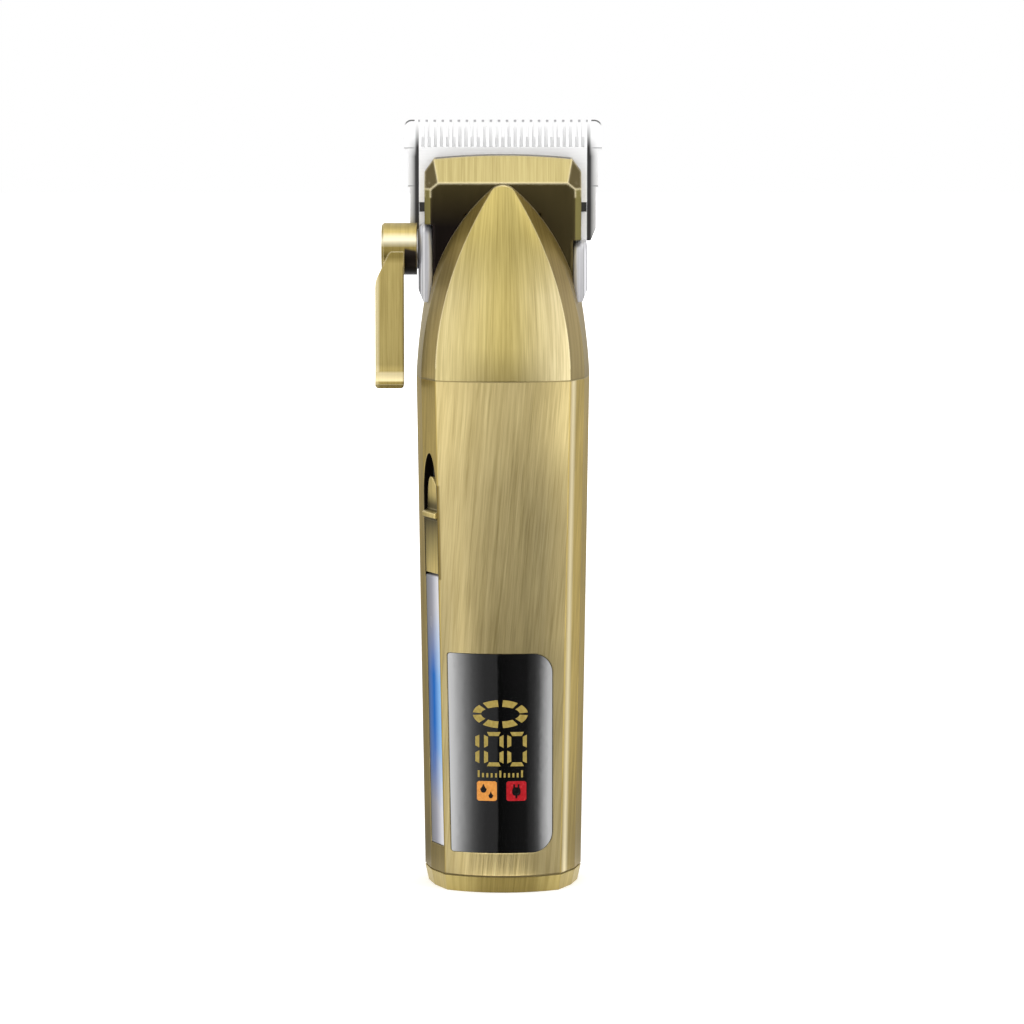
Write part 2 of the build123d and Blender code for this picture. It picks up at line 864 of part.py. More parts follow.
# Blade chassis: back plate, tongue and two bright side walls
blade_screw_z = (blade_foot + chassis_top) / 2
slide_screw_z = lever_height - slide_screw_drop
with BuildPart() as blade_chassis:
    block((-wall_inner, wall_inner), (chassis_front, blade_front), (wall_foot, chassis_top))
    block(
        (-tongue_half, tongue_half),
        (chassis_front, blade_front),
        (seam_height + tongue_rise, wall_foot),
    )
    for side, wall_top in ((-1, left_wall_top), (1, right_wall_top)):
        with BuildSketch(Plane.YZ.offset(side * wall_inner)):
            with BuildLine():
                FilletPolyline(
                    (blade_front, wall_foot),
                    (blade_front, wall_top),
                    (wall_front, wall_top),
                    (wall_front, wall_foot),
                    radius=[0, 0, wall_top_round, 0],
                    close=True,
                )
            make_face()
        extrude(amount=side * wall_thickness)
        with BuildSketch(Plane.XZ.offset(-2 * blade_front)):
            with BuildLine():
                Polyline(
                    (side * wall_outer, wall_foot + wall_toe_height),
                    (side * wall_outer, wall_foot),
                    (side * (wall_outer - wall_toe), wall_foot),
                    close=True,
                )
            make_face()
        extrude(amount=4 * blade_front, mode=Mode.SUBTRACT)
    upright = blade_chassis.edges().filter_by(Axis.Z)
    fillet(upright.filter_by(lambda e: abs(e.center().Y - wall_front) < fit_gap), radius=wall_round)
    rod(
        (-2 * wall_outer, lever_y, lever_height),
        (1, 0, 0),
        lever_shaft_radius + running_gap,
        2 * wall_outer,
        mode=Mode.SUBTRACT,
    )
    for side in (-1, 1):
        for x, z, radius in (
            (blade_screw_x, blade_screw_z, blade_screw_radius),
            (slide_screw_x, slide_screw_z, slide_screw_radius),
            (chassis_boss[0], chassis_boss[1], chassis_screw_radius + fit_gap),
        ):
            rod((side * x, 0, z), (0, 1, 0), radius, 2 * blade_front, mode=Mode.SUBTRACT)
blade_chassis.part.label = "blade_chassis"
export_step(blade_chassis.part, "parts/blade_chassis.step")

with BuildPart() as chassis_screws:
    for side in (-1, 1):
        seat = (side * chassis_boss[0], chassis_front, chassis_boss[1])
        screw(seat, (0, 1, 0), chassis_screw_radius, chassis_screw_length, chassis_head_radius)
chassis_screws.part.label = "chassis_screws"
export_step(chassis_screws.part, "parts/chassis_screws.step")

# Fixed blade
step_z = blade_tip - blade_step_drop
heel_z = blade_tip - blade_heel_drop
toe_z = blade_foot + blade_toe_height
with BuildPart() as fixed_blade:
    with BuildSketch(Plane.XZ.offset(-blade_back)):
        with BuildLine():
            right_side = [
                (blade_half, step_z),
                (blade_half - blade_step, step_z),
                (blade_half - blade_step, heel_z),
                (blade_half - blade_heel, heel_z),
                (blade_half - blade_heel, toe_z),
                (blade_half - blade_toe, blade_foot),
            ]
            left_side = [(-x, z) for x, z in reversed(right_side)]
            square = [0] * len(right_side)
            FilletPolyline(
                (-blade_half, blade_tip),
                (blade_half, blade_tip),
                *right_side,
                *left_side,
                radius=[blade_corner, blade_corner] + square + square,
                close=True,
            )
        make_face()
        with Locations((0, blade_tip)):
            with GridLocations(blade_slot_pitch, 1, blade_slots, 1):
                Rectangle(blade_slot_width, 2 * blade_slot_depth, mode=Mode.SUBTRACT)
    extrude(amount=blade_thickness)
    with BuildSketch(Plane.YZ):
        with BuildLine():
            Polyline(
                (blade_back, step_z),
                (blade_back, blade_tip),
                (blade_front + tooth_edge, blade_tip),
                close=True,
            )
        make_face()
    extrude(amount=2 * blade_half, both=True, mode=Mode.SUBTRACT)
    for side in (-1, 1):
        start = (side * blade_screw_x, 0, blade_screw_z)
        rod(start, (0, 1, 0), blade_screw_radius + fit_gap, 2 * blade_back, mode=Mode.SUBTRACT)
fixed_blade.part.label = "fixed_blade"
export_step(fixed_blade.part, "parts/fixed_blade.step")

with BuildPart() as blade_screws:
    for side in (-1, 1):
        seat = (side * blade_screw_x, blade_back, blade_screw_z)
        screw(seat, (0, -1, 0), blade_screw_radius, blade_screw_length, blade_head_radius)
blade_screws.part.label = "blade_screws"
export_step(blade_screws.part, "parts/blade_screws.step")

# Cutter blade
cutter_pin_z = cutter_foot + cutter_pin_rise
with BuildPart() as cutter_blade:
    with BuildSketch(Plane.XZ.offset(-cutter_back)):
        with Locations((0, cutter_foot)):
            Rectangle(2 * cutter_half, cutter_height, align=(Align.CENTER, Align.MIN))
        with Locations((0, cutter_tip)):
            with GridLocations(cutter_slot_pitch, 1, cutter_slots, 1):
                Rectangle(cutter_slot_width, 2 * cutter_slot_depth, mode=Mode.SUBTRACT)
        with Locations((-cutter_pin_x, cutter_pin_z), (cutter_pin_x, cutter_pin_z)):
            Circle(cutter_pin_radius + running_gap, mode=Mode.SUBTRACT)
    extrude(amount=cutter_thickness)
    with BuildSketch(Plane.YZ):
        with BuildLine():
            Polyline(
                (cutter_front, cutter_tip - cutter_slot_depth),
                (cutter_front, cutter_tip),
                (cutter_back - tooth_edge, cutter_tip),
                close=True,
            )
        make_face()
    extrude(amount=2 * cutter_half, both=True, mode=Mode.SUBTRACT)
cutter_blade.part.label = "cutter_blade"
export_step(cutter_blade.part, "parts/cutter_blade.step")

# Cutter carrier: bar under the cutter, rib in front of it and the fork around the cam
rail_y = (slide_front + slide_back) / 2 + rail_shift
rail_top = carrier_foot + rail_rise
rail_room = rail_half_length + stroke + free_gap
rib_half = plate_half - plate_wall - stroke - 2 * free_gap
rib_top = cutter_pin_z + rib_rise
fork_back = slide_front - screw_head - running_gap - free_gap
fork_front = motor_axis_y - cam_bearing_radius - fork_lip
with BuildPart() as cutter_carrier:
    block((-carrier_half, carrier_half), (cutter_front, cutter_back), (carrier_foot, cutter_foot))
    block((-rib_half, rib_half), (carrier_front, cutter_front), (carrier_foot, rib_top))
    block(
        (-fork_outer, fork_outer),
        (fork_front, carrier_front),
        (carrier_foot, carrier_foot + fork_bridge),
    )
    for side in (-1, 1):
        block(
            sorted((side * fork_inner, side * fork_outer)),
            (fork_front, fork_back),
            (fork_foot, carrier_foot),
        )
        start = (side * cutter_pin_x, cutter_front, cutter_pin_z)
        rod(start, (0, 1, 0), cutter_pin_radius, cutter_thickness - free_gap)
    block(
        (-rail_room, rail_room),
        (rail_y - rail_depth / 2 - fit_gap, rail_y + rail_depth / 2 + fit_gap),
        (carrier_foot, rail_top + fit_gap),
        mode=Mode.SUBTRACT,
    )
cutter_carrier.part.label = "cutter_carrier"
export_step(cutter_carrier.part, "parts/cutter_carrier.step")

# Taper slide with its rail, its guide slots and the ear that the lever moves
eccentric_y = lever_y - eccentric_throw * cos(radians(lever_swing / 2))
eccentric_z = lever_height - eccentric_throw * sin(radians(lever_swing / 2))
taper_travel = 2 * eccentric_throw * sin(radians(lever_swing / 2))
ear_front = lever_y - eccentric_throw - eccentric_radius - ear_wall
slide_half = ear_inner + ear_lap
slide_room = slide_shoulder + fit_gap
pin_room = eccentric_radius + running_gap
with BuildPart() as taper_slide:
    block((-slide_half, slide_half), (slide_front, slide_back), (fork_foot, slide_top))
    block(
        (-rail_half_length, rail_half_length),
        (rail_y - rail_depth / 2, rail_y + rail_depth / 2),
        (slide_top, rail_top),
    )
    block(
        (-ear_outer, -ear_inner),
        (ear_front, slide_back),
        (eccentric_z - ear_half_height, eccentric_z + ear_half_height),
    )
    block(
        (-ear_outer, -ear_inner),
        (ear_front + ear_wall - fit_gap, eccentric_y + eccentric_radius + fit_gap),
        (eccentric_z - pin_room, eccentric_z + pin_room),
        mode=Mode.SUBTRACT,
    )
    for side in (-1, 1):
        block(
            (side * slide_screw_x - slide_room, side * slide_screw_x + slide_room),
            (slide_front, slide_back),
            (slide_screw_z - slide_room - taper_travel, slide_screw_z + slide_room),
            mode=Mode.SUBTRACT,
        )
taper_slide.part.label = "taper_slide"
export_step(taper_slide.part, "parts/taper_slide.step")

with BuildPart() as slide_screws:
    for side in (-1, 1):
        seat = (side * slide_screw_x, slide_front - running_gap, slide_screw_z)
        screw(seat, (0, 1, 0), slide_screw_radius, slide_thickness + plate_thickness, slide_head_radius)
        rod(seat, (0, 1, 0), slide_shoulder, slide_thickness + fit_gap + running_gap)
slide_screws.part.label = "slide_screws"
export_step(slide_screws.part, "parts/slide_screws.step")

# Tension spring: a leaf on the slide that presses the rib
spring_front = carrier_front - fit_gap - spring_thickness
spring_bend = slide_top - spring_drop
with BuildPart() as tension_spring:
    block(
        (-spring_half, spring_half),
        (slide_front - spring_thickness, slide_front),
        (slide_top - spring_tail, spring_bend),
    )
    block(
        (-spring_half, spring_half),
        (spring_front, slide_front),
        (spring_bend - spring_fold, spring_bend),
    )
    for side in (-1, 1):
        block(
            sorted((side * (fork_outer + stroke + free_gap), side * spring_half)),
            (spring_front, spring_front + spring_thickness),
            (spring_bend - spring_fold, rib_top - spring_end_drop),
        )
tension_spring.part.label = "tension_spring"
export_step(tension_spring.part, "parts/tension_spring.step")

# Taper lever: barrel across the side wall and the arm hanging from it
barrel_inner = wall_outer + running_gap + washer_thickness
barrel_outer = barrel_inner + barrel_length
shaft_start = barrel_outer - barrel_floor
arm_right = barrel_inner + lever_arm_inset
arm_left = arm_right + lever_arm_width
arm_front = lever_y - barrel_radius - lever_arm_rise
arm_back = arm_front + lever_arm_thickness
arm_head = lever_height - shoulder_head
arm_foot = lever_height - lever_arm_length
with BuildPart() as lever_arm:
    with BuildSketch(Plane.XZ):
        with BuildLine():
            FilletPolyline(
                (-arm_right, arm_head),
                (-arm_left + shoulder_width, arm_head),
                (-arm_left, lever_height - shoulder_drop),
                (-arm_left, arm_foot),
                (-arm_right, arm_foot),
                radius=[0, arm_head_round, shoulder_round, arm_foot_round, arm_foot_round],
                close=True,
            )
        make_face()
    extrude(amount=4 * barrel_radius)
    with BuildSketch(Plane.YZ.offset(-barrel_inner)):
        with BuildLine():
            front_run = Line((arm_front, lever_height), (arm_front, arm_foot + flare_height))
            front_lip = TangentArc(
                front_run @ 1, (arm_front - flare, arm_foot + flare_edge), tangent=front_run % 1
            )
            Polyline(
                front_lip @ 1,
                (arm_front - flare + flare_nose, arm_foot),
                (arm_back - flare_back, arm_foot),
                (arm_back, arm_foot + flare_height),
                (arm_back, lever_height),
                (arm_front, lever_height),
            )
        make_face()
    extrude(amount=-2 * barrel_length, mode=Mode.INTERSECT)

with BuildPart() as taper_lever:
    rod((-barrel_outer, lever_y, lever_height), (1, 0, 0), barrel_radius, barrel_length)
    chamfer(taper_lever.edges().sort_by(Axis.X)[0], length=barrel_chamfer)
    add(lever_arm.part)
    rod(
        (-shaft_start, lever_y, lever_height),
        (1, 0, 0),
        lever_shaft_radius + press_gap,
        barrel_length,
        mode=Mode.SUBTRACT,
    )
taper_lever.part.label = "taper_lever"
export_step(taper_lever.part, "parts/taper_lever.step")

with BuildPart() as lever_shaft:
    rod((-shaft_start, lever_y, lever_height), (1, 0, 0), lever_shaft_radius, shaft_start - shaft_end)
    rod((-shaft_end, eccentric_y, eccentric_z), (1, 0, 0), eccentric_radius, shaft_end - ear_inner)
lever_shaft.part.label = "lever_shaft"
export_step(lever_shaft.part, "parts/lever_shaft.step")

shaft_hole = lever_shaft_radius + press_gap
with BuildPart() as lever_washer:
    start = (-barrel_inner, lever_y, lever_height)
    rod(start, (1, 0, 0), washer_radius, washer_thickness)
    rod(start, (1, 0, 0), shaft_hole, washer_thickness, mode=Mode.SUBTRACT)
lever_washer.part.label = "lever_washer"
export_step(lever_washer.part, "parts/lever_washer.step")

with BuildPart() as lever_clip:
    clip_x = wall_inner - running_gap
    start = (-clip_x, lever_y, lever_height)
    rod(start, (1, 0, 0), clip_radius, clip_thickness)
    rod(start, (1, 0, 0), shaft_hole, clip_thickness, mode=Mode.SUBTRACT)
    block(
        (-clip_x, -clip_x + clip_thickness),
        (lever_y, lever_y + 2 * clip_radius),
        (lever_height - clip_mouth, lever_height + clip_mouth),
        mode=Mode.SUBTRACT,
    )
lever_clip.part.label = "lever_clip"
export_step(lever_clip.part, "parts/lever_clip.step")

# Inner frame at the parting plane with the battery cradle
frame_inset = shell_wall + 2 * seat_gap
frame_foot_half = section_sizes(cover_foot).side_half - frame_inset
frame_top_half = section_sizes(frame_top).side_half - frame_inset
cell_room = tab_thickness + fit_gap
with BuildPart() as inner_frame:
    with BuildSketch(Plane.XZ):
        with BuildLine():
            Polyline(
                (-frame_foot_half, frame_foot),
                (frame_foot_half, frame_foot),
                (frame_top_half, frame_top),
                (-frame_top_half, frame_top),
                close=True,
            )
        make_face()
    extrude(amount=frame_thickness / 2, both=True)
    block(
        (-rail_half, rail_half),
        (-cradle_front_share * battery_radius, cradle_back_share * battery_radius),
        (frame_foot, frame_top),
    )
    for side in (-1, 1):
        rod((side * cap_screw_x, 0, cap_height), (0, 0, 1), cap_post_radius, cap_post_length)
    rod(
        (0, battery_y, battery_foot - cell_room),
        (0, 0, 1),
        battery_radius + fit_gap,
        battery_length + 2 * cell_room,
        mode=Mode.SUBTRACT,
    )
    for side in (-1, 1):
        foot = (side * cap_screw_x, 0, cap_height)
        rod(foot, (0, 0, 1), cap_screw_radius, cap_hole_depth, mode=Mode.SUBTRACT)
        start = (side * low_boss[0], -battery_radius, low_boss[1])
        rod(start, (0, 1, 0), cover_screw_radius + fit_gap, 2 * battery_radius, mode=Mode.SUBTRACT)
inner_frame.part.label = "inner_frame"
export_step(inner_frame.part, "parts/inner_frame.step")

cover_screw_length = 2 * cover_seat - 2 * seat_gap
with BuildPart() as cover_screws:
    for x, z in cover_bosses:
        screw((x, cover_seat, z), (0, -1, 0), cover_screw_radius, cover_screw_length, cover_head_radius)
cover_screws.part.label = "cover_screws"
export_step(cover_screws.part, "parts/cover_screws.step")

with BuildPart() as battery_cell:
    can_top = battery_top - battery_button
    rod((0, battery_y, battery_foot), (0, 0, 1), battery_radius, can_top - battery_foot)
    rod((0, battery_y, can_top), (0, 0, 1), button_share * battery_radius, battery_button)
battery_cell.part.label = "battery_cell"
export_step(battery_cell.part, "parts/battery_cell.step")

with BuildPart() as battery_tabs:
    for height in (battery_foot - tab_thickness, battery_top):
        block(
            (-tab_width / 2, tab_width / 2),
            (board_back, battery_y + tab_reach),
            (height, height + tab_thickness),
        )
battery_tabs.part.label = "battery_tabs"
export_step(battery_tabs.part, "parts/battery_tabs.step")

# Main board with display module, charge port and screws
with BuildPart() as main_board:
    block(
        (-board_half, board_half),
        (board_front, board_back),
        (cover_foot + board_foot_rise, frame_top + board_head_rise),
    )
    for side in (-1, 1):
        start = (side * board_boss[0], board_front, board_boss[1])
        rod(start, (0, 1, 0), board_screw_radius + fit_gap, board_thickness, mode=Mode.SUBTRACT)
main_board.part.label = "main_board"
export_step(main_board.part, "parts/main_board.step")

with BuildPart() as board_screws:
    for side in (-1, 1):
        seat = (side * board_boss[0], board_back, board_boss[1])
        screw(seat, (0, -1, 0), board_screw_radius, board_screw_length, board_head_radius)
board_screws.part.label = "board_screws"
export_step(board_screws.part, "parts/board_screws.step")

with BuildPart() as display_module:
    module_half = board_half - display_margin
    block(
        (-module_half, module_half),
        (board_front - display_thickness, board_front),
        (window_foot + display_drop, window_foot + window_height - display_drop),
    )
    fillet(display_module.edges().filter_by(Axis.Y), radius=display_round)
display_module.part.label = "display_module"
export_step(display_module.part, "parts/display_module.step")

with BuildPart() as charge_port:
    with BuildSketch(Plane.XY.offset(port_set_in)):
        with Locations((0, port_y)):
            SlotOverall(port_width, port_thickness)
    extrude(amount=port_depth)
    with BuildSketch(Plane.XY.offset(port_set_in)):
        with Locations((0, port_y)):
            SlotOverall(port_width - 2 * port_wall, port_thickness - 2 * port_wall)
    extrude(amount=port_depth - port_floor, mode=Mode.SUBTRACT)
    tongue_width = port_tongue_share * port_width
    block(
        (-tongue_width / 2, tongue_width / 2),
        (port_y - port_tongue_thickness / 2, port_y + port_tongue_thickness / 2),
        (port_tongue_foot, port_depth),
    )
charge_port.part.label = "charge_port"
export_step(charge_port.part, "parts/charge_port.step")

# Light strip on the bevel with its board and lamps
strip_half = slot_half - fit_gap
strip_under = shell_wall + free_gap
strip_head = strip_foot + strip_length - strip_foot_length
light_board_top = strip_under + strip_foot_drop
with BuildPart() as light_strip:
    with BuildSketch(bevel_plane.offset(-strip_under)):
        draw_strip(strip_half, strip_foot, strip_length)
    extrude(amount=strip_under)
    outer_face = light_strip.faces().sort_by(Axis(bevel_base, bevel_normal))[-1]
    fillet(outer_face.edges(), radius=strip_round)
    with BuildSketch(bevel_plane.offset(-strip_under)):
        for foot in (strip_foot, strip_head):
            draw_strip(strip_foot_share * strip_half, foot, strip_foot_length)
    extrude(amount=-strip_foot_drop)
light_strip.part.label = "light_strip"
export_step(light_strip.part, "parts/light_strip.step")

with BuildPart() as light_board:
    with BuildSketch(bevel_plane.offset(-light_board_top)):
        draw_strip(light_board_share * strip_half, strip_foot, strip_length)
    extrude(amount=-light_board_thickness)
light_board.part.label = "light_board"
export_step(light_board.part, "parts/light_board.step")

with BuildPart() as strip_lamps:
    with BuildSketch(bevel_plane.offset(-light_board_top)):
        with Locations((0, strip_foot + strip_length / 2)):
            with GridLocations(lamp_size, strip_length / (lamp_count + 1), 1, lamp_count):
                Rectangle(lamp_size, lamp_size)
    extrude(amount=lamp_height)
strip_lamps.part.label = "strip_lamps"
export_step(strip_lamps.part, "parts/strip_lamps.step")

# Power switch: slider with a thumb lip, link, tray and switch block
lip_foot = slider_foot + lip_rise
slider_low = slider_foot - slider_overrun
slider_high = slider_top + slider_overrun
profile_plane = Plane(
    origin=bevel_plane.from_local_coords(Vector(-2 * slot_half, 0, 0)),
    x_dir=bevel_plane.y_dir,
    z_dir=bevel_plane.x_dir,
)
with BuildPart() as switch_slider:
    with BuildSketch(bevel_plane.offset(-slider_under)):
        draw_arched_strip(slider_half, slider_foot, slider_top)
    extrude(amount=slider_under + 2 * lip_height)
    with BuildSketch(profile_plane):
        with BuildLine():
            scoop = TangentArc(
                (lip_foot + lip_heel, -scoop_depth), (slider_high, -slider_sink), tangent=(1, 0)
            )
            Polyline(
                scoop @ 1,
                (slider_high, -slider_under),
                (slider_low, -slider_under),
                (slider_low, -slider_sink),
                (lip_foot - lip_toe, -slider_sink),
                (lip_foot - lip_under, lip_height),
                (lip_foot + lip_over, lip_height),
                scoop @ 0,
            )
        make_face()
    extrude(amount=4 * slot_half, mode=Mode.INTERSECT)
switch_slider.part.label = "switch_slider"
export_step(switch_slider.part, "parts/switch_slider.step")

link_foot = slider_foot + link_rise
tray_under = tray_top + tray_thickness
with BuildPart() as switch_link:
    with BuildSketch(bevel_plane.offset(-slider_under)):
        draw_strip(link_half, link_foot, link_length)
    extrude(amount=slider_under - tray_under - link_reach)
switch_link.part.label = "switch_link"
export_step(switch_link.part, "parts/switch_link.step")

tray_half = slot_half - free_gap
tray_foot = slider_foot - tray_foot_lap
slit_half = link_half + free_gap
slit_foot = link_foot - free_gap
slit_length = link_length + slider_travel + 2 * free_gap
with BuildPart() as switch_tray:
    with BuildSketch(bevel_plane.offset(-tray_under)):
        draw_strip(tray_half, tray_foot, slot_top + tray_head_lap - tray_foot)
        draw_strip(slit_half, slit_foot, slit_length, mode=Mode.SUBTRACT)
    extrude(amount=tray_thickness)
switch_tray.part.label = "switch_tray"
export_step(switch_tray.part, "parts/switch_tray.step")

with BuildPart() as switch_block:
    with BuildSketch(bevel_plane.offset(-tray_under)):
        draw_strip(block_share * tray_half, slit_foot - block_lap, slit_length + 2 * block_lap)
    extrude(amount=-block_thickness)
    with BuildSketch(bevel_plane.offset(-tray_under)):
        draw_strip(slit_half, slit_foot, slit_length)
    extrude(amount=-block_pocket, mode=Mode.SUBTRACT)
switch_block.part.label = "switch_block"
export_step(switch_block.part, "parts/switch_block.step")

# Motor, its mount and the drive cam
motor_radius = high_boss[0] - boss_radius - seat_gap
motor_screw_x = motor_screw_share * motor_radius
with BuildPart() as motor_mount:
    with BuildSketch(Plane.XY.offset(motor_top)):
        draw_front_half(motor_top, shell_wall + seat_gap)
        draw_back_half(motor_top, shell_wall + seat_gap)
        with Locations((0, motor_axis_y)):
            Circle(motor_spigot_radius + running_gap, mode=Mode.SUBTRACT)
        with Locations((-motor_screw_x, motor_axis_y), (motor_screw_x, motor_axis_y)):
            Circle(motor_screw_radius + fit_gap, mode=Mode.SUBTRACT)
    extrude(amount=mount_thickness)
motor_mount.part.label = "motor_mount"
export_step(motor_mount.part, "parts/motor_mount.step")

with BuildPart() as motor_can:
    rod((0, motor_axis_y, motor_foot), (0, 0, 1), motor_radius, motor_length)
    fillet(motor_can.edges().filter_by(GeomType.CIRCLE).sort_by(Axis.Z)[-1], radius=motor_round)
    rod((0, motor_axis_y, motor_top), (0, 0, 1), motor_spigot_radius, motor_spigot)
    rod(
        (0, motor_axis_y, motor_top - motor_bore_depth),
        (0, 0, 1),
        motor_shaft_radius + running_gap,
        2 * motor_bore_depth,
        mode=Mode.SUBTRACT,
    )
    for side in (-1, 1):
        foot = (side * motor_screw_x, motor_axis_y, motor_top - motor_hole_depth)
        rod(foot, (0, 0, 1), motor_screw_radius, 2 * motor_hole_depth, mode=Mode.SUBTRACT)
motor_can.part.label = "motor_can"
export_step(motor_can.part, "parts/motor_can.step")

with BuildPart() as motor_bell:
    rod((0, motor_axis_y, bell_foot), (0, 0, 1), motor_radius - bell_inset, bell_length)
    fillet(motor_bell.edges().filter_by(GeomType.CIRCLE).sort_by(Axis.Z)[0], radius=bell_round)
motor_bell.part.label = "motor_bell"
export_step(motor_bell.part, "parts/motor_bell.step")

terminal_front = motor_axis_y - terminal_thickness / 2
with BuildPart() as motor_terminals:
    for side in (-1, 1):
        block(
            (side * terminal_x - terminal_width / 2, side * terminal_x + terminal_width / 2),
            (terminal_front, terminal_front + terminal_thickness),
            (terminal_foot, bell_foot),
        )
motor_terminals.part.label = "motor_terminals"
export_step(motor_terminals.part, "parts/motor_terminals.step")

lead_y = board_back + lead_radius + running_gap
lead_z = terminal_foot + lead_rise
with BuildPart() as motor_leads:
    for side in (-1, 1):
        start = (side * terminal_x, terminal_front, lead_z)
        with BuildLine() as lead_path:
            FilletPolyline(
                start,
                (side * terminal_x, lead_y, lead_z),
                (side * terminal_x, lead_y, frame_top - lead_tail),
                radius=lead_bend,
            )
        with BuildSketch(Plane(origin=start, z_dir=(0, -1, 0))):
            Circle(lead_radius)
        sweep(path=lead_path.line)
motor_leads.part.label = "motor_leads"
export_step(motor_leads.part, "parts/motor_leads.step")

with BuildPart() as motor_screws:
    for side in (-1, 1):
        seat = (side * motor_screw_x, motor_axis_y, mount_top)
        screw(seat, (0, 0, -1), motor_screw_radius, motor_screw_length, motor_head_radius)
motor_screws.part.label = "motor_screws"
export_step(motor_screws.part, "parts/motor_screws.step")

cam_top = fork_foot - cam_drop
cam_foot = cam_top - cam_length
shaft_foot = motor_top - motor_bore_depth + free_gap
with BuildPart() as motor_shaft:
    rod((0, motor_axis_y, shaft_foot), (0, 0, 1), motor_shaft_radius, cam_top - cam_floor - shaft_foot)
motor_shaft.part.label = "motor_shaft"
export_step(motor_shaft.part, "parts/motor_shaft.step")

pin_top = lever_height - cam_pin_drop
with BuildPart() as drive_cam:
    hub = (0, motor_axis_y, cam_foot)
    rod(hub, (0, 0, 1), cam_radius, cam_length)
    rod(hub, (0, 0, 1), motor_shaft_radius + press_gap, cam_length - cam_floor, mode=Mode.SUBTRACT)
    rod((cam_throw, motor_axis_y, cam_top), (0, 0, 1), cam_pin_radius, pin_top - cam_top)
drive_cam.part.label = "drive_cam"
export_step(drive_cam.part, "parts/drive_cam.step")

with BuildPart() as cam_bearing:
    foot = (cam_throw, motor_axis_y, fork_foot - cam_bearing_lead)
    bearing_length = pin_top - cam_bearing_set_in - foot[2]
    rod(foot, (0, 0, 1), cam_bearing_radius, bearing_length)
    rod(foot, (0, 0, 1), cam_pin_radius + press_gap, bearing_length, mode=Mode.SUBTRACT)
cam_bearing.part.label = "cam_bearing"
export_step(cam_bearing.part, "parts/cam_bearing.step")
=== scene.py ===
import json
import math

import bmesh
import bpy
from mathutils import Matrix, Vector
from mathutils.bvhtree import BVHTree


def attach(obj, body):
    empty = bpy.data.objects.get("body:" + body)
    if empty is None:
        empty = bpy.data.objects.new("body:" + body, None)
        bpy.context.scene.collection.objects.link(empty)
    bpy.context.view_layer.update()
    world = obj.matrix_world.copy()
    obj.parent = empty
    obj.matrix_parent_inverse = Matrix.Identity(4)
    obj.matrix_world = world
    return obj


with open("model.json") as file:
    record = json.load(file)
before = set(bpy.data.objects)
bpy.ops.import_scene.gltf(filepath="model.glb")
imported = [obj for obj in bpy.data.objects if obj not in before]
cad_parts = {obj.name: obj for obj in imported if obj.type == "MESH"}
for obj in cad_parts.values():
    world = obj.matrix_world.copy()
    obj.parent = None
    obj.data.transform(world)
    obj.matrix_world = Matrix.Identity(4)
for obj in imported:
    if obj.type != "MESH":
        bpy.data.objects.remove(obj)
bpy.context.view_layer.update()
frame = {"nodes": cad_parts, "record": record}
cadNodes = frame["nodes"]
scene = bpy.context.scene
scene.view_settings.view_transform = "Standard"
print("frame loaded,", len(cadNodes), "nodes")


# Camera, at the photograph's viewing angle
cameraSet = {
    "place": (0.00209, -1.150, 0.2223),
    "aim": (0.00209, 0.0, 0.0867),
    "lens": 175.0, "sensor": 36.0,
    "clip": (0.02, 30.0),
}


def aimAt(obj, target):
    look = Vector(target) - obj.location
    obj.rotation_euler = look.to_track_quat("-Z", "Y").to_euler()


def makeCamera():
    data = bpy.data.cameras.new("photo_camera")
    data.lens = cameraSet["lens"]
    data.sensor_width = cameraSet["sensor"]
    data.clip_start, data.clip_end = cameraSet["clip"]
    camera = bpy.data.objects.new("photo_camera", data)
    camera.location = cameraSet["place"]
    aimAt(camera, cameraSet["aim"])
    scene.collection.objects.link(camera)
    scene.camera = camera


makeCamera()
print("camera placed")


# Node helpers
noiseSpan = (0.3, 0.7)  # where noise values mostly lie
noiseRough = 0.55


def addNode(tree, kind, inputs=None, **settings):
    node = tree.nodes.new(kind)
    for key, value in settings.items():
        setattr(node, key, value)
    for key, value in (inputs or {}).items():
        node.inputs[key].default_value = value
    return node


def newFinish(name):
    finish = bpy.data.materials.new(name)
    finish.use_nodes = True
    return finish, finish.node_tree, finish.node_tree.nodes["Principled BSDF"]


def mathNode(tree, operation, a, b=None):
    node = addNode(tree, "ShaderNodeMath", operation=operation)
    for index, value in enumerate((a, b)):
        if value is None:
            continue
        if isinstance(value, (int, float)):
            node.inputs[index].default_value = value
        else:
            tree.links.new(value, node.inputs[index])
    return node.outputs[0]


def times(tree, first, *others):
    for other in others:
        first = mathNode(tree, "MULTIPLY", first, other)
    return first


def plus(tree, first, *others):
    for other in others:
        first = mathNode(tree, "ADD", first, other)
    return first


def minus(tree, a, b):
    return mathNode(tree, "SUBTRACT", a, b)


def apart(tree, value, middle=0.0):
    # How far a value lies from the middle, to either side
    return mathNode(tree, "ABSOLUTE", minus(tree, value, middle))


def rangeNode(tree, value, fromLow, fromHigh, toLow=0.0, toHigh=1.0, smooth=False):
    node = addNode(
        tree, "ShaderNodeMapRange",
        {"From Min": fromLow, "From Max": fromHigh, "To Min": toLow, "To Max": toHigh},
        interpolation_type="SMOOTHSTEP" if smooth else "LINEAR",
    )
    tree.links.new(value, node.inputs["Value"])
    return node.outputs["Result"]


def bandMask(tree, value, low, high, soft):
    # 1 between low and high, 0 outside, with soft borders
    above = rangeNode(tree, value, low - soft, low + soft)
    return times(tree, above, rangeNode(tree, value, high + soft, high - soft))


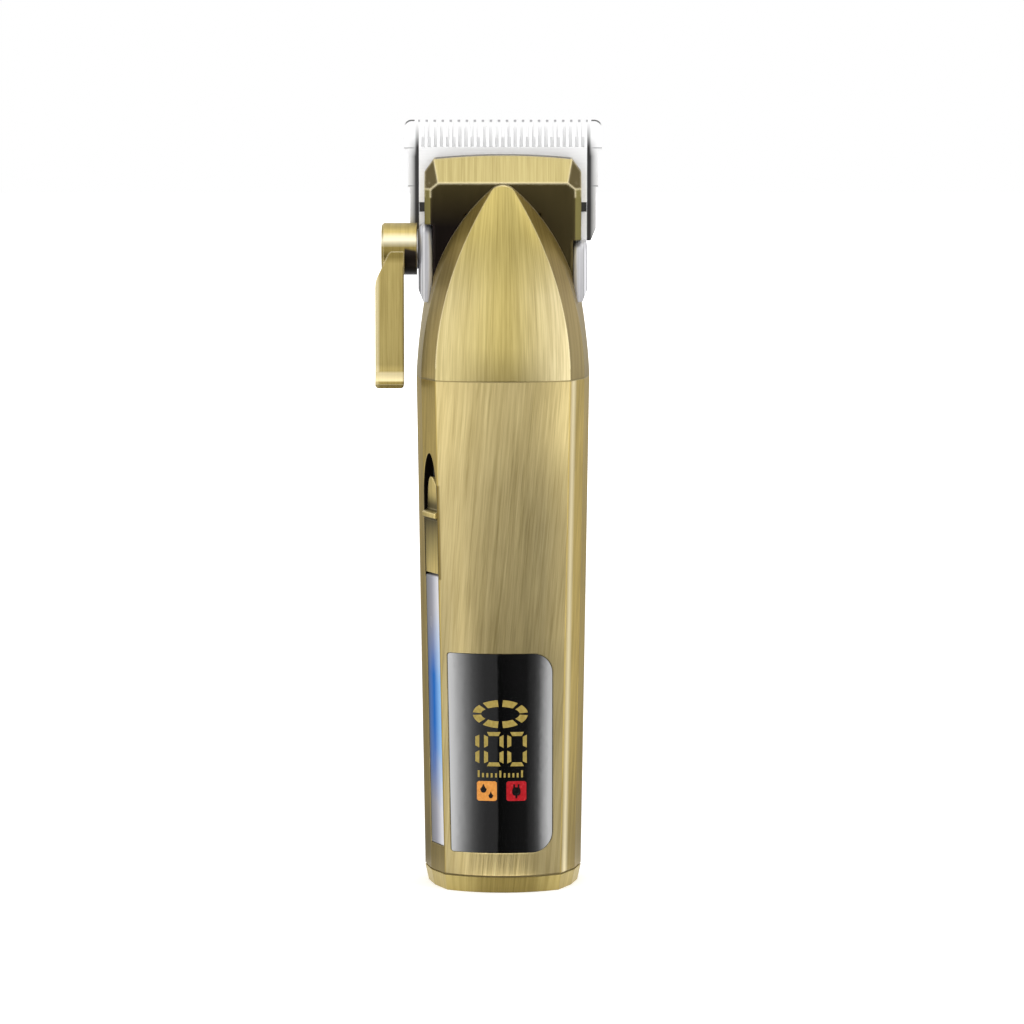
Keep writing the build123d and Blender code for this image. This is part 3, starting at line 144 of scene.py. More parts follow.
def rampNode(tree, value, stops):
    node = addNode(tree, "ShaderNodeValToRGB")
    ramp = node.color_ramp
    while len(ramp.elements) < len(stops):
        ramp.elements.new(0.5)
    for element, (place, colour) in zip(ramp.elements, stops):
        element.position = place
        element.color = (*colour, 1.0)
    tree.links.new(value, node.inputs["Fac"])
    return node.outputs["Color"]


def levelsAt(tree, value, stops, most=1.0):
    # Levels between stops in the value's own unit; a ramp goes no higher than 1, so most is taken out of it
    low, high = stops[0][0], stops[-1][0]
    share = rangeNode(tree, value, low, high)
    level = rampNode(tree, share, [((at - low) / (high - low), (part / most,) * 3) for at, part in stops])
    return level if most == 1.0 else times(tree, level, most)


def mixColour(tree, factor, a, b, blend="MIX"):
    node = addNode(tree, "ShaderNodeMix", data_type="RGBA", blend_type=blend)
    for key, value in (("Factor", factor), ("A", a), ("B", b)):
        socket = [s for s in node.inputs if s.name == key and s.enabled][0]
        if isinstance(value, (int, float)):
            socket.default_value = value
        elif isinstance(value, tuple):
            socket.default_value = (*value, 1.0)
        else:
            tree.links.new(value, socket)
    return [s for s in node.outputs if s.enabled][0]


def tinted(tree, colour, tint):
    return mixColour(tree, 1.0, colour, tint, "MULTIPLY")


def gainBy(tree, colour, weight, gain):
    # Tinted where the weight is 1
    return mixColour(tree, weight, colour, tinted(tree, colour, gain))


def shadeBy(tree, colour, weight, height, stops):
    # Darker by height where the weight is 1
    return tinted(tree, colour, mixColour(tree, weight, (1.0, 1.0, 1.0), levelsAt(tree, height, stops)))


def noiseNode(tree, size, detail=3.0):
    # Noise whose grains have the given size in metres
    coords = addNode(tree, "ShaderNodeTexCoord")
    mapping = addNode(tree, "ShaderNodeMapping", {"Scale": size}, vector_type="TEXTURE")
    noise = addNode(tree, "ShaderNodeTexNoise", {"Scale": 1.0, "Detail": detail, "Roughness": noiseRough})
    tree.links.new(coords.outputs["Object"], mapping.inputs["Vector"])
    tree.links.new(mapping.outputs["Vector"], noise.inputs["Vector"])
    return noise.outputs["Fac"]


def setRough(tree, shader, noise, rough):
    tree.links.new(rangeNode(tree, noise, *noiseSpan, *rough), shader.inputs["Roughness"])


def setBump(tree, shader, height, strength, distance, normal=None):
    node = addNode(tree, "ShaderNodeBump", {"Strength": strength, "Distance": distance})
    tree.links.new(height, node.inputs["Height"])
    if normal is not None:
        tree.links.new(normal, node.inputs["Normal"])
    tree.links.new(node.outputs["Normal"], shader.inputs["Normal"])


def setGlow(tree, shader, colour, strength):
    tree.links.new(colour, shader.inputs["Base Color"])
    tree.links.new(colour, shader.inputs["Emission Color"])
    shader.inputs["Emission Strength"].default_value = strength


def objectPlace(tree):
    coords = addNode(tree, "ShaderNodeTexCoord")
    place = addNode(tree, "ShaderNodeSeparateXYZ")
    tree.links.new(coords.outputs["Object"], place.inputs["Vector"])
    return place.outputs


def faceNormal(tree):
    geometry = addNode(tree, "ShaderNodeNewGeometry")
    normal = addNode(tree, "ShaderNodeSeparateXYZ")
    tree.links.new(geometry.outputs["Normal"], normal.inputs["Vector"])
    return normal.outputs


def edgeMask(tree, radius, low, high):
    # Rounded normal and a mask that is 1 on sharp edges
    bevel = addNode(tree, "ShaderNodeBevel", {"Radius": radius}, samples=6)
    geometry = addNode(tree, "ShaderNodeNewGeometry")
    dot = addNode(tree, "ShaderNodeVectorMath", operation="DOT_PRODUCT")
    tree.links.new(bevel.outputs["Normal"], dot.inputs[0])
    tree.links.new(geometry.outputs["Normal"], dot.inputs[1])
    return bevel.outputs["Normal"], rangeNode(tree, dot.outputs["Value"], high, low)


# Antique brass, brushed along the body
brassSet = {
    "dark": (0.35, 0.272, 0.112), "mid": (0.50, 0.402, 0.186), "light": (0.63, 0.520, 0.258),
    "tones": (0.34, 0.50, 0.66),  # noise at which each of these shows
    # edge: colour of the painted highlights along edges
    "edge": (0.90, 0.79, 0.50), "edgeHigh": 0.996, "spanSoft": 0.0002,
    "sideTint": (1.0, 0.92, 0.58),  # painted shade: the faces turned sideways are warmer and darker
    "seam": 0.1187, "seamWide": (0.000208, 0.000104), "seamDark": (0.33, 0.265, 0.115),
    "grain": {"size": (0.00022, 0.013), "detail": 2.0, "rough": 0.55, "share": 0.34},  # width and length
    "streak": {"size": (0.00090, 0.030), "detail": 4.0, "rough": 0.60, "share": 0.46},
    "cloud": {"size": (0.0060, 0.090), "detail": 2.0, "rough": 0.55, "share": 0.20},
    "scar": {"size": (0.0013, 0.036), "detail": 5.0, "rough": 0.65},  # darker strokes across the grain
    "axisY": 0.004, "reach": 0.020,  # upright axis that the scratches run around
    "rough": (0.33, 0.45), "metal": 0.88, "brushed": 0.35, "bump": (0.10, 0.0001),
    "scarTilt": 1.5, "scarSpan": (0.50, 0.72), "scarDark": (0.62, 0.60, 0.48),
}


def brushCoords(tree, around):
    # Across the brushing in X and along it in Z, either round the body or straight
    place = objectPlace(tree)
    across = place["X"]
    if around:
        depth = minus(tree, brassSet["axisY"], place["Y"])
        across = times(tree, mathNode(tree, "ARCTAN2", across, depth), brassSet["reach"])
    joined = addNode(tree, "ShaderNodeCombineXYZ")
    tree.links.new(across, joined.inputs["X"])
    tree.links.new(place["Z"], joined.inputs["Z"])
    return joined.outputs["Vector"]


def brushNoise(tree, vector, kind, tilt):
    s = brassSet[kind]
    wide, long = s["size"]
    mapping = addNode(
        tree, "ShaderNodeMapping",
        {"Rotation": (0.0, math.radians(tilt), 0.0), "Scale": (wide, 1.0, long)}, vector_type="TEXTURE",
    )
    noise = addNode(
        tree, "ShaderNodeTexNoise", {"Scale": 1.0, "Detail": s["detail"], "Roughness": s["rough"]},
    )
    tree.links.new(vector, mapping.inputs["Vector"])
    tree.links.new(mapping.outputs["Vector"], noise.inputs["Vector"])
    return noise.outputs["Fac"]


def brassFinish(
    name, tilt=0.0, around=True, tint=(1.0, 1.0, 1.0), edge=0.5, span=(-1.0, 1.0), wide=0.00035, low=0.90,
    scar=0.0, paint=None,
):
    s = brassSet
    finish, tree, shader = newFinish(name)
    vector = brushCoords(tree, around)
    noises = {kind: brushNoise(tree, vector, kind, tilt) for kind in ("grain", "streak", "cloud")}
    mixed = plus(tree, *(times(tree, noise, s[kind]["share"]) for kind, noise in noises.items()))
    colour = rampNode(tree, mixed, list(zip(s["tones"], (s["dark"], s["mid"], s["light"]))))
    colour = tinted(tree, colour, tint)
    if scar:
        strokes = brushNoise(tree, vector, "scar", tilt + s["scarTilt"])
        colour = gainBy(tree, colour, rangeNode(tree, strokes, *s["scarSpan"], 0.0, scar), s["scarDark"])
    if paint:
        colour = paint(tree, colour)
    # Painted highlight along sharp edges, kept within the height span
    rounded, edges = edgeMask(tree, wide, low, s["edgeHigh"])
    kept = bandMask(tree, objectPlace(tree)["Z"], *span, s["spanSoft"])
    colour = mixColour(tree, times(tree, edges, kept, edge), colour, s["edge"])
    tree.links.new(colour, shader.inputs["Base Color"])
    shader.inputs["Metallic"].default_value = s["metal"]
    shader.inputs["Anisotropic"].default_value = s["brushed"]
    tangent = addNode(tree, "ShaderNodeTangent", direction_type="RADIAL", axis="Z")
    tree.links.new(tangent.outputs["Tangent"], shader.inputs["Tangent"])
    setRough(tree, shader, noises["grain"], s["rough"])
    setBump(tree, shader, noises["grain"], *s["bump"], rounded)
    return finish


def seamLine(tree, colour):
    off = apart(tree, objectPlace(tree)["Z"], brassSet["seam"])
    return mixColour(tree, rangeNode(tree, off, *brassSet["seamWide"]), colour, brassSet["seamDark"])


slotSet = {
    "left": -0.0136, "foot": 0.0727, "head": 0.0945, "soft": 0.0002,
    # dark: painted shade on the walls inside the switch slot
    "wallTurn": (0.10, 0.20), "dark": (0.012, 0.008, 0.006),
    "line": (0.46, 0.43, 0.34), "lineSpan": (-0.00035, 0.0008), "lineSoft": 0.00015,  # painted shadow line beside the slider
}
bodySet = {
    "foot": 0.0041, "edge": 0.01332, "edgeSlope": 0.01771,  # front edge, by height
    "sideTurn": (0.50, 0.68), "frontTurn": (-0.5, -0.7), "bevelTurn": (-0.05, -0.2), "turnSoft": 0.1,
    "edgeHighlight": (0.00045, 0.00135), "edgeHighlightSoft": 0.00035, "edgeHighlightShare": 0.85,  # painted highlight beside the right edge
    "right": (0.0035, 0.0092), "left": (-0.0095, -0.0130),
    # painted shade: the front face's sides and the side faces darker lower down, by height
    "rightShade": [(0.0, 0.47), (0.053, 0.47), (0.060, 0.60), (0.085, 0.66), (0.105, 1.0)],
    "leftShade": [(0.0, 0.55), (0.053, 0.55), (0.066, 0.62), (0.080, 0.82), (0.105, 1.0)],
    "rightSide": [(0.0, 0.60), (0.010, 0.60), (0.030, 0.88), (0.050, 1.0), (0.105, 1.0), (0.116, 0.88)],
    "leftSide": [(0.0, 0.40), (0.010, 0.44), (0.022, 0.70), (0.060, 0.90), (0.105, 0.96), (0.116, 0.85)],
    # painted highlight towards the top of the front face
    "head": (0.090, 0.114), "headHighlight": (1.12, 1.12, 1.09),
    "lowMiddle": 0.0005, "lowWidth": (0.0110, 0.0040), "lowHeight": (0.012, 0.0095),  # painted highlight below the lens
    "lowHighlight": (1.85, 1.85, 1.85),
}


def bodyPaint(tree, colour):
    # Painted shade and highlight on the front and side faces, a painted highlight beside the right edge,
    # painted shade in the switch slot and a dark joint line
    s = bodySet
    normal = faceNormal(tree)
    place = objectPlace(tree)
    across, height = place["X"], place["Z"]
    warm = rangeNode(tree, apart(tree, normal["X"]), *s["sideTurn"])
    front = times(tree, minus(tree, 1.0, warm), rangeNode(tree, normal["Y"], *s["frontTurn"]))
    forward = rangeNode(tree, normal["Y"], *s["bevelTurn"])
    onRight = times(tree, warm, forward, rangeNode(tree, normal["X"], 0.0, s["turnSoft"]))
    onLeft = times(tree, warm, forward, rangeNode(tree, normal["X"], 0.0, -s["turnSoft"]))
    # Painted shade on both sides of the front face, darker lower down
    for side in ("right", "left"):
        weight = times(tree, front, rangeNode(tree, across, *s[side]))
        colour = shadeBy(tree, colour, weight, height, s[side + "Shade"])
    # Painted highlight towards the top of the front face
    head = rangeNode(tree, height, *s["head"], smooth=True)
    colour = gainBy(tree, colour, times(tree, head, front), s["headHighlight"])
    # Painted highlight on the front below the lens
    low = times(
        tree, front, rangeNode(tree, apart(tree, across, s["lowMiddle"]), *s["lowWidth"]),
        rangeNode(tree, height, *s["lowHeight"]),
    )
    colour = gainBy(tree, colour, low, s["lowHighlight"])
    # Painted shade: the faces turned sideways warmer and darker, and darker lower down
    colour = gainBy(tree, colour, warm, brassSet["sideTint"])
    colour = shadeBy(tree, colour, onRight, height, s["rightSide"])
    colour = shadeBy(tree, colour, onLeft, height, s["leftSide"])
    # Painted highlight on the right bevel just beside the front edge
    edge = plus(tree, times(tree, minus(tree, height, s["foot"]), s["edgeSlope"]), s["edge"])
    paintedHighlight = bandMask(tree, minus(tree, across, edge), *s["edgeHighlight"], s["edgeHighlightSoft"])
    colour = mixColour(tree, times(tree, paintedHighlight, onRight, s["edgeHighlightShare"]), colour, brassSet["edge"])
    # Painted shadow line on the bevel beside the switch slot
    past = minus(tree, times(tree, across, -1.0), edge)
    line = times(
        tree, forward, bandMask(tree, height, slotSet["foot"], slotSet["head"], slotSet["soft"]),
        bandMask(tree, past, *slotSet["lineSpan"], slotSet["lineSoft"]),
    )
    colour = gainBy(tree, colour, line, slotSet["line"])
    # Painted shade on the walls inside the switch slot, then the dark joint line
    wall = times(
        tree, rangeNode(tree, normal["X"], *slotSet["wallTurn"]),
        rangeNode(tree, across, slotSet["left"], slotSet["left"] - slotSet["soft"]),
        rangeNode(tree, height, slotSet["foot"], slotSet["foot"] + slotSet["soft"]),
    )
    return seamLine(tree, mixColour(tree, wall, colour, slotSet["dark"]))


capSet = {
    "tint": (0.92, 0.91, 0.72), "shade": (0.56, 0.54, 0.45), "middle": 0.0015, "width": (0.0125, 0.004),
}


def capPaint(tree, colour):
    # Painted shade: darker in the middle of the front
    off = apart(tree, objectPlace(tree)["X"], capSet["middle"])
    return gainBy(tree, colour, rangeNode(tree, off, *capSet["width"], smooth=True), capSet["shade"])


noseSet = {
    # pale, gain and rightGain: painted highlights; facet and rightFacet: painted shade
    "tint": (0.93, 0.925, 0.67), "frontTurn": (0.0, -0.2), "gain": (1.12, 1.12, 1.12),
    "pale": (1.06, 1.10, 1.55), "paleHeight": (0.152, 0.138), "paleTurn": (0.04, 0.40),
    "paleShare": (0.15, 1.0),
    "facet": (0.66, 0.60, 0.50), "facetTurn": (0.48, 0.60), "facetHeight": (0.122, 0.146),
    "facetShare": (0.25, 1.0),
    "right": (0.0030, 0.0110), "rightGain": (1.24, 1.27, 1.50),
    "rightFacet": (0.68, 0.64, 0.54), "rightStart": (0.0, 0.001), "rightHeight": (0.150, 0.142),
    "darkAboveSeam": (0.76, 0.75, 0.76), "darkAboveSeamHeight": (0.1265, 0.1195), "darkAboveSeamWidth": (0.0120, 0.0050),
}


def nosePaint(tree, colour):
    # Painted shade: outer facets darken towards the tip and the right one lower down. Painted highlight: the
    # middle facet is paler below and brighter on its right; it is darker just above the seam
    s = noseSet
    normal = faceNormal(tree)
    place = objectPlace(tree)
    across, height = place["X"], place["Z"]
    sideways = apart(tree, normal["X"])
    facet = rangeNode(tree, sideways, *s["facetTurn"])
    # Painted highlight: the middle facet paler and brighter below
    below = rangeNode(tree, height, *s["paleHeight"])
    pale = times(tree, below, rangeNode(tree, sideways, *s["paleTurn"], *s["paleShare"]))
    colour = gainBy(tree, colour, pale, s["pale"])
    middle = times(tree, minus(tree, 1.0, facet), below, rangeNode(tree, normal["Y"], *s["frontTurn"]))
    colour = gainBy(tree, colour, middle, s["gain"])
    # Darker just above the seam in the middle
    darkAboveSeam = times(
        tree, middle, rangeNode(tree, height, *s["darkAboveSeamHeight"]),
        rangeNode(tree, apart(tree, across), *s["darkAboveSeamWidth"]),
    )
    colour = gainBy(tree, colour, darkAboveSeam, s["darkAboveSeam"])
    # Painted highlight on the right of the middle facet
    right = times(tree, middle, rangeNode(tree, across, *s["right"]))
    colour = gainBy(tree, colour, right, s["rightGain"])
    # Painted shade on the right facet lower down
    turned = times(
        tree, facet, rangeNode(tree, across, *s["rightStart"]), rangeNode(tree, height, *s["rightHeight"]),
    )
    colour = gainBy(tree, colour, turned, s["rightFacet"])
    # Painted shade on the outer facets towards the tip
    facet = times(tree, facet, rangeNode(tree, height, *s["facetHeight"], *s["facetShare"]))
    return seamLine(tree, gainBy(tree, colour, facet, s["facet"]))


leverSet = {
    "tint": (0.88, 0.86, 0.66), "soft": 0.0002,
    "left": -0.02275, "top": 0.1485, "topSoft": 0.0003, "slope": 0.20, "dark": (0.022, 0.016, 0.012),  # painted shade on the barrel's lower half beside the arm
    # painted shade on the barrel, darker lower down
    "barrel": (0.1516, 0.1485), "barrelFoot": (0.1450, 0.1465), "barrelShade": (0.56, 0.54, 0.42),
    "glintHeight": (0.1496, 0.1512), "glintSoft": 0.0009, "glintStart": (-0.0293, -0.0290),  # painted highlight on the barrel
    "glintShare": 0.8, "glint": (1.0, 0.95, 0.74),
    # painted shade on the arm's right side and below the foot band; painted highlights on its left edge and
    # the band above the foot
    "arm": (0.1450, 0.1440), "armRight": (-0.02330, -0.02290), "rightShade": (0.42, 0.40, 0.30),
    "armLeft": (-0.02830, -0.02880), "band": (0.1179, 0.1200), "paintedHighlightShare": 0.55,
    "footShade": (0.50, 0.48, 0.38),
}


def leverPaint(tree, colour):
    # Painted shade on the barrel, darker lower down and on its lower half beside the arm, a painted highlight
    # on the barrel, painted shade on the arm's right side and below the foot band, and painted highlights on
    # the arm's left edge and the band above the foot
    s = leverSet
    place = objectPlace(tree)
    across, height = place["X"], place["Z"]
    # Painted shade on the barrel, darker lower down
    barrel = times(
        tree, rangeNode(tree, height, *s["barrel"], smooth=True), rangeNode(tree, height, *s["barrelFoot"]),
    )
    colour = gainBy(tree, colour, barrel, s["barrelShade"])
    # Painted highlight on the barrel
    glint = times(
        tree, bandMask(tree, height, *s["glintHeight"], s["glintSoft"]),
        rangeNode(tree, across, *s["glintStart"]), s["glintShare"],
    )
    colour = mixColour(tree, glint, colour, s["glint"])
    # Painted shade on the barrel's lower half beside the arm
    beside = minus(tree, across, s["left"])
    top = minus(tree, s["top"], times(tree, beside, s["slope"]))
    barrelShadow = times(
        tree, rangeNode(tree, minus(tree, top, height), -s["topSoft"], s["topSoft"]),
        rangeNode(tree, beside, 0.0, s["soft"]),
    )
    colour = mixColour(tree, barrelShadow, colour, s["dark"])
    # Painted shade on the arm's right side, painted highlights on its left edge and the band above the foot,
    # painted shade below that band
    arm = rangeNode(tree, height, *s["arm"])
    colour = gainBy(tree, colour, times(tree, arm, rangeNode(tree, across, *s["armRight"])), s["rightShade"])
    left = times(tree, arm, rangeNode(tree, across, *s["armLeft"]))
    paintedHighlight = mathNode(tree, "MAXIMUM", left, bandMask(tree, height, *s["band"], s["soft"]))
    colour = mixColour(tree, times(tree, paintedHighlight, s["paintedHighlightShare"]), colour, brassSet["edge"])
    bandFoot = s["band"][0]
    foot = rangeNode(tree, height, bandFoot + s["soft"], bandFoot - s["soft"])
    return gainBy(tree, colour, foot, s["footShade"])


sliderSet = {
    # tint: painted light, brighter than the body's brass; leftShade: painted shade on the left side
    "tint": (1.90, 1.85, 1.44), "sides": (-0.0182, -0.0145), "leftShade": 0.55,
    "levels": [  # by height: painted shade towards the lip from both sides, painted highlight on its crest
        (0.0739, 1.0), (0.0765, 0.84), (0.0811, 0.52), (0.0845, 0.28), (0.0862, 0.15), (0.0867, 0.20),
        (0.0869, 1.0), (0.0879, 1.0), (0.0883, 0.26), (0.0890, 0.17), (0.0897, 0.20), (0.0917, 0.80),
        (0.0930, 1.0), (0.0962, 1.0),
    ],
}


def sliderPaint(tree, colour):
    # Painted shade and highlight by height, and painted shade on the left side
    place = objectPlace(tree)
    colour = tinted(tree, colour, levelsAt(tree, place["Z"], sliderSet["levels"]))
    return tinted(tree, colour, rangeNode(tree, place["X"], *sliderSet["sides"], sliderSet["leftShade"], 1.0))


plateSet = {
    "tint": (0.77, 0.79, 0.72), "height": (0.1480, 0.1637), "lowerShare": 0.35,
    # painted shade: the undercut, darker below and lighter on the right; the corner facets, side strips and
    # top edge
    "upper": (0.105, 0.080, 0.028), "lower": (0.016, 0.011, 0.009), "right": (0.125, 0.097, 0.036),
    "rightSpan": (-0.0036, 0.018), "rightShare": 0.8,
    "corner": (0.115, 0.088, 0.034), "strip": (0.17, 0.145, 0.046), "top": (0.055, 0.042, 0.018),
    "downTurn": (-0.10, -0.18), "flatTurn": (0.40, 0.25), "cornerTurn": (0.30, 0.45), "upTurn": (0.10, 0.25),
    "topTurn": (0.82, 0.92),
}


def platePaint(tree, colour):
    # Painted shade on the undercut below the ridge, the side strips, the corner facets and the top edge
    s = plateSet
    normal = faceNormal(tree)
    place = objectPlace(tree)
    sideways = apart(tree, normal["X"])
    down = rangeNode(tree, normal["Z"], *s["downTurn"])
    turned = rangeNode(tree, sideways, *s["cornerTurn"])
    share = rangeNode(tree, place["Z"], *s["height"])
    undercutShade = rampNode(tree, share, [(s["lowerShare"], s["lower"]), (1.0, s["upper"])])
    right = rangeNode(tree, place["X"], *s["rightSpan"], 0.0, s["rightShare"], True)
    undercutShade = mixColour(tree, right, undercutShade, s["right"])
    colour = mixColour(tree, times(tree, down, rangeNode(tree, sideways, *s["flatTurn"])), colour, undercutShade)
    colour = mixColour(tree, times(tree, down, turned), colour, s["strip"])
    up = rangeNode(tree, normal["Z"], *s["upTurn"])
    colour = mixColour(tree, times(tree, up, turned), colour, s["corner"])
    return mixColour(tree, rangeNode(tree, normal["Z"], *s["topTurn"]), colour, s["top"])


# Bright metals
steelSet = {
    "blade": {"colour": (0.86, 0.86, 0.865), "shade": (0.79, 0.79, 0.80),
              "grain": (0.010, 0.0004, 0.00028), "rough": (0.30, 0.42), "metal": 0.55},
    "cutter": {"colour": (0.99, 0.99, 0.99), "shade": (0.93, 0.93, 0.935),
               "grain": (0.010, 0.0004, 0.00028), "rough": (0.30, 0.42), "metal": 0.45},
    # chrome: painted reflection, strong light and dark streaks down the walls
    "chrome": {"colour": (0.93, 0.93, 0.95), "shade": (0.34, 0.34, 0.37),
               "grain": (0.0009, 0.02, 0.2), "rough": (0.30, 0.40), "metal": 0.40},
    # spring: painted shade, near black where it shows in the shaded undercut
    "spring": {"colour": (0.030, 0.028, 0.026), "shade": (0.016, 0.015, 0.014),
               "grain": (0.003, 0.0006, 0.0006), "rough": (0.40, 0.55), "metal": 0.6},
    "screw": {"colour": (0.62, 0.62, 0.63), "shade": (0.42, 0.42, 0.43),
              "grain": (0.0008, 0.0008, 0.0008), "rough": (0.28, 0.42), "metal": 1.0},
    "motor": {"colour": (0.58, 0.58, 0.57), "shade": (0.40, 0.40, 0.40),
              "grain": (0.003, 0.003, 0.003), "rough": (0.35, 0.5), "metal": 1.0},
    "drive": {"colour": (0.70, 0.55, 0.25), "shade": (0.50, 0.37, 0.14),
              "grain": (0.002, 0.002, 0.0003), "rough": (0.25, 0.38), "metal": 1.0},
}
steelLook = {"tones": (0.3, 0.65), "edge": (0.00020, 0.90, 0.995), "edgeShare": 0.4, "bump": (0.05, 0.0001)}


def metalFinish(name, kind, paint=None):
    s = steelSet[kind]
    finish, tree, shader = newFinish(name)
    grain = noiseNode(tree, s["grain"])
    colour = rampNode(tree, grain, list(zip(steelLook["tones"], (s["shade"], s["colour"]))))
    rounded, edges = edgeMask(tree, *steelLook["edge"])
    # Painted highlight along sharp edges
    colour = mixColour(tree, times(tree, edges, steelLook["edgeShare"]), colour, (1.0, 1.0, 1.0), "SCREEN")
    if paint:
        colour = paint(tree, colour)
    tree.links.new(colour, shader.inputs["Base Color"])
    shader.inputs["Metallic"].default_value = s["metal"]
    setRough(tree, shader, grain, s["rough"])
    setBump(tree, shader, grain, *steelLook["bump"], rounded)
    return finish


bladeSet = {
    "frontTurn": (-0.2, -0.5), "backTurn": (0.2, 0.5), "soft": 0.00012,
    # painted highlight: front faces near white; painted shade on the back
    "frontHighlight": 0.85, "white": (1.0, 1.0, 1.0), "backShade": (0.62, 0.62, 0.63),
    "inner": 0.01950, "outer": 0.02025, "cutterShadowTop": (0.1770, 0.1710),  # painted shadow beside the cutter
    "dark": (0.030, 0.028, 0.028),
    # painted shade on the wings beside the cutter
    "shadeWide": 0.0024, "shadeTop": (0.1735, 0.1690), "shade": (0.05, 0.05, 0.05),
    "steps": (0.1710, 0.1622), "half": 0.00016, "wingSoft": 0.001, "grey": (0.22, 0.22, 0.23),
    "behind": 0.0195, "behindTop": 0.1745, "pale": (0.98, 0.98, 0.98),  # painted light behind the cutter's gaps
    # painted shade dots between the tooth tips
    "pitch": 0.00186, "dot": 0.00024, "tip": (0.1768, 0.17715), "teeth": 0.0196,
    "tipGrey": (0.42, 0.42, 0.43),
    # painted shadow arcs at the outer corners
    "corner": (0.02115, 0.1757), "cornerInner": 0.00148, "cornerStart": 0.0204,
    "cornerRise": (0.0004, 0.0012), "arc": (0.10, 0.10, 0.10),
}


def bladeLines(tree, colour):
    # Painted highlight on the front faces, painted shade on the back, grey lines across the wings, painted
    # shadow and shade beside the cutter, painted light behind the cutter's gaps, painted shade dots between
    # the tooth tips and painted shadow arcs at the outer corners
    s = bladeSet
    soft = s["soft"]
    place = objectPlace(tree)
    away, height = apart(tree, place["X"]), place["Z"]
    facing = faceNormal(tree)["Y"]
    front = rangeNode(tree, facing, *s["frontTurn"])
    # Painted highlight on the front faces, painted shade on the back
    colour = mixColour(tree, times(tree, front, s["frontHighlight"]), colour, s["white"])
    colour = gainBy(tree, colour, rangeNode(tree, facing, *s["backTurn"]), s["backShade"])
    wing = rangeNode(tree, away, s["outer"], s["outer"] + s["wingSoft"])
    for step in s["steps"]:
        line = times(tree, wing, rangeNode(tree, apart(tree, height, step), s["half"], 0.0))
        colour = mixColour(tree, line, colour, s["grey"])
    outside = rangeNode(tree, away, s["inner"] - soft, s["inner"] + soft)
    # Painted shade on the wings beside the cutter
    slope = rangeNode(tree, away, s["outer"] + s["shadeWide"], s["outer"])
    slope = times(tree, slope, slope, front, outside, rangeNode(tree, height, *s["shadeTop"]))
    colour = mixColour(tree, slope, colour, s["shade"])
    # Painted shadow beside the cutter
    cutterShadow = times(
        tree, outside, rangeNode(tree, away, s["outer"] + 2 * soft, s["outer"] - 2 * soft),
        rangeNode(tree, height, *s["cutterShadowTop"]),
    )
    colour = mixColour(tree, cutterShadow, colour, s["dark"])
    # Painted light behind the cutter's gaps
    behind = times(
        tree, front, rangeNode(tree, away, s["behind"], s["behind"] - soft),
        rangeNode(tree, height, s["behindTop"], s["behindTop"] - soft),
    )
    colour = mixColour(tree, behind, colour, s["pale"])
    # Painted shade dots between the tooth tips
    halfPitch = s["pitch"] / 2
    fromTooth = minus(tree, halfPitch, mathNode(tree, "PINGPONG", away, halfPitch))
    tip = times(
        tree, rangeNode(tree, fromTooth, s["dot"] + soft, s["dot"]), rangeNode(tree, height, *s["tip"]),
        rangeNode(tree, away, s["teeth"] + soft, s["teeth"]),
    )
    colour = mixColour(tree, tip, colour, s["tipGrey"])
    # Painted shadow arcs at the outer corners
    out = mathNode(tree, "MAXIMUM", minus(tree, away, s["corner"][0]), 0.0)
    above = minus(tree, height, s["corner"][1])
    reach = mathNode(tree, "SQRT", plus(tree, times(tree, out, out), times(tree, above, above)))
    arc = times(
        tree, rangeNode(tree, reach, s["cornerInner"] - soft, s["cornerInner"] + soft),
        rangeNode(tree, above, *s["cornerRise"]),
        rangeNode(tree, away, s["cornerStart"], s["cornerStart"] + soft),
    )
    return mixColour(tree, arc, colour, s["arc"])


wallSet = {
    "frontTurn": (-0.2, -0.5), "lines": (0.01852, 0.01940), "half": 0.00030, "grey": (0.26, 0.26, 0.27),
    "share": 0.75,
}


def wallLines(tree, colour):
    # Painted reflection: dark lines down the front of the bright side walls
    s = wallSet
    away = apart(tree, objectPlace(tree)["X"])
    front = rangeNode(tree, faceNormal(tree)["Y"], *s["frontTurn"], 0.0, s["share"])
    for middle in s["lines"]:
        line = times(tree, front, rangeNode(tree, apart(tree, away, middle), s["half"], 0.0))
        colour = mixColour(tree, line, colour, s["grey"])
    return colour


# Plastics, rubber and boards
plasticSet = {
    "black": {"colour": (0.020, 0.020, 0.021), "shade": (0.010, 0.010, 0.011),
              "rough": (0.42, 0.60), "size": 0.0006},
    "module": {"colour": (0.035, 0.035, 0.037), "shade": (0.020, 0.020, 0.021),
               "rough": (0.35, 0.5), "size": 0.001},
    "rubber": {"colour": (0.300, 0.240, 0.100), "shade": (0.220, 0.172, 0.068),
               "rough": (0.65, 0.85), "size": 0.0005},
    "board": {"colour": (0.030, 0.180, 0.080), "shade": (0.018, 0.110, 0.050),
              "rough": (0.35, 0.5), "size": 0.0012},
    "wrap": {"colour": (0.080, 0.200, 0.450), "shade": (0.055, 0.140, 0.330),
             "rough": (0.25, 0.4), "size": 0.004},
    "lead": {"colour": (0.500, 0.030, 0.030), "shade": (0.350, 0.018, 0.018),
             "rough": (0.4, 0.55), "size": 0.001},
    "lamp": {"colour": (0.900, 0.900, 0.850), "shade": (0.780, 0.770, 0.700),
             "rough": (0.2, 0.35), "size": 0.0008},
}
plasticLook = {"detail": 4.0, "tones": (0.35, 0.65), "bump": (0.08, 0.00008)}


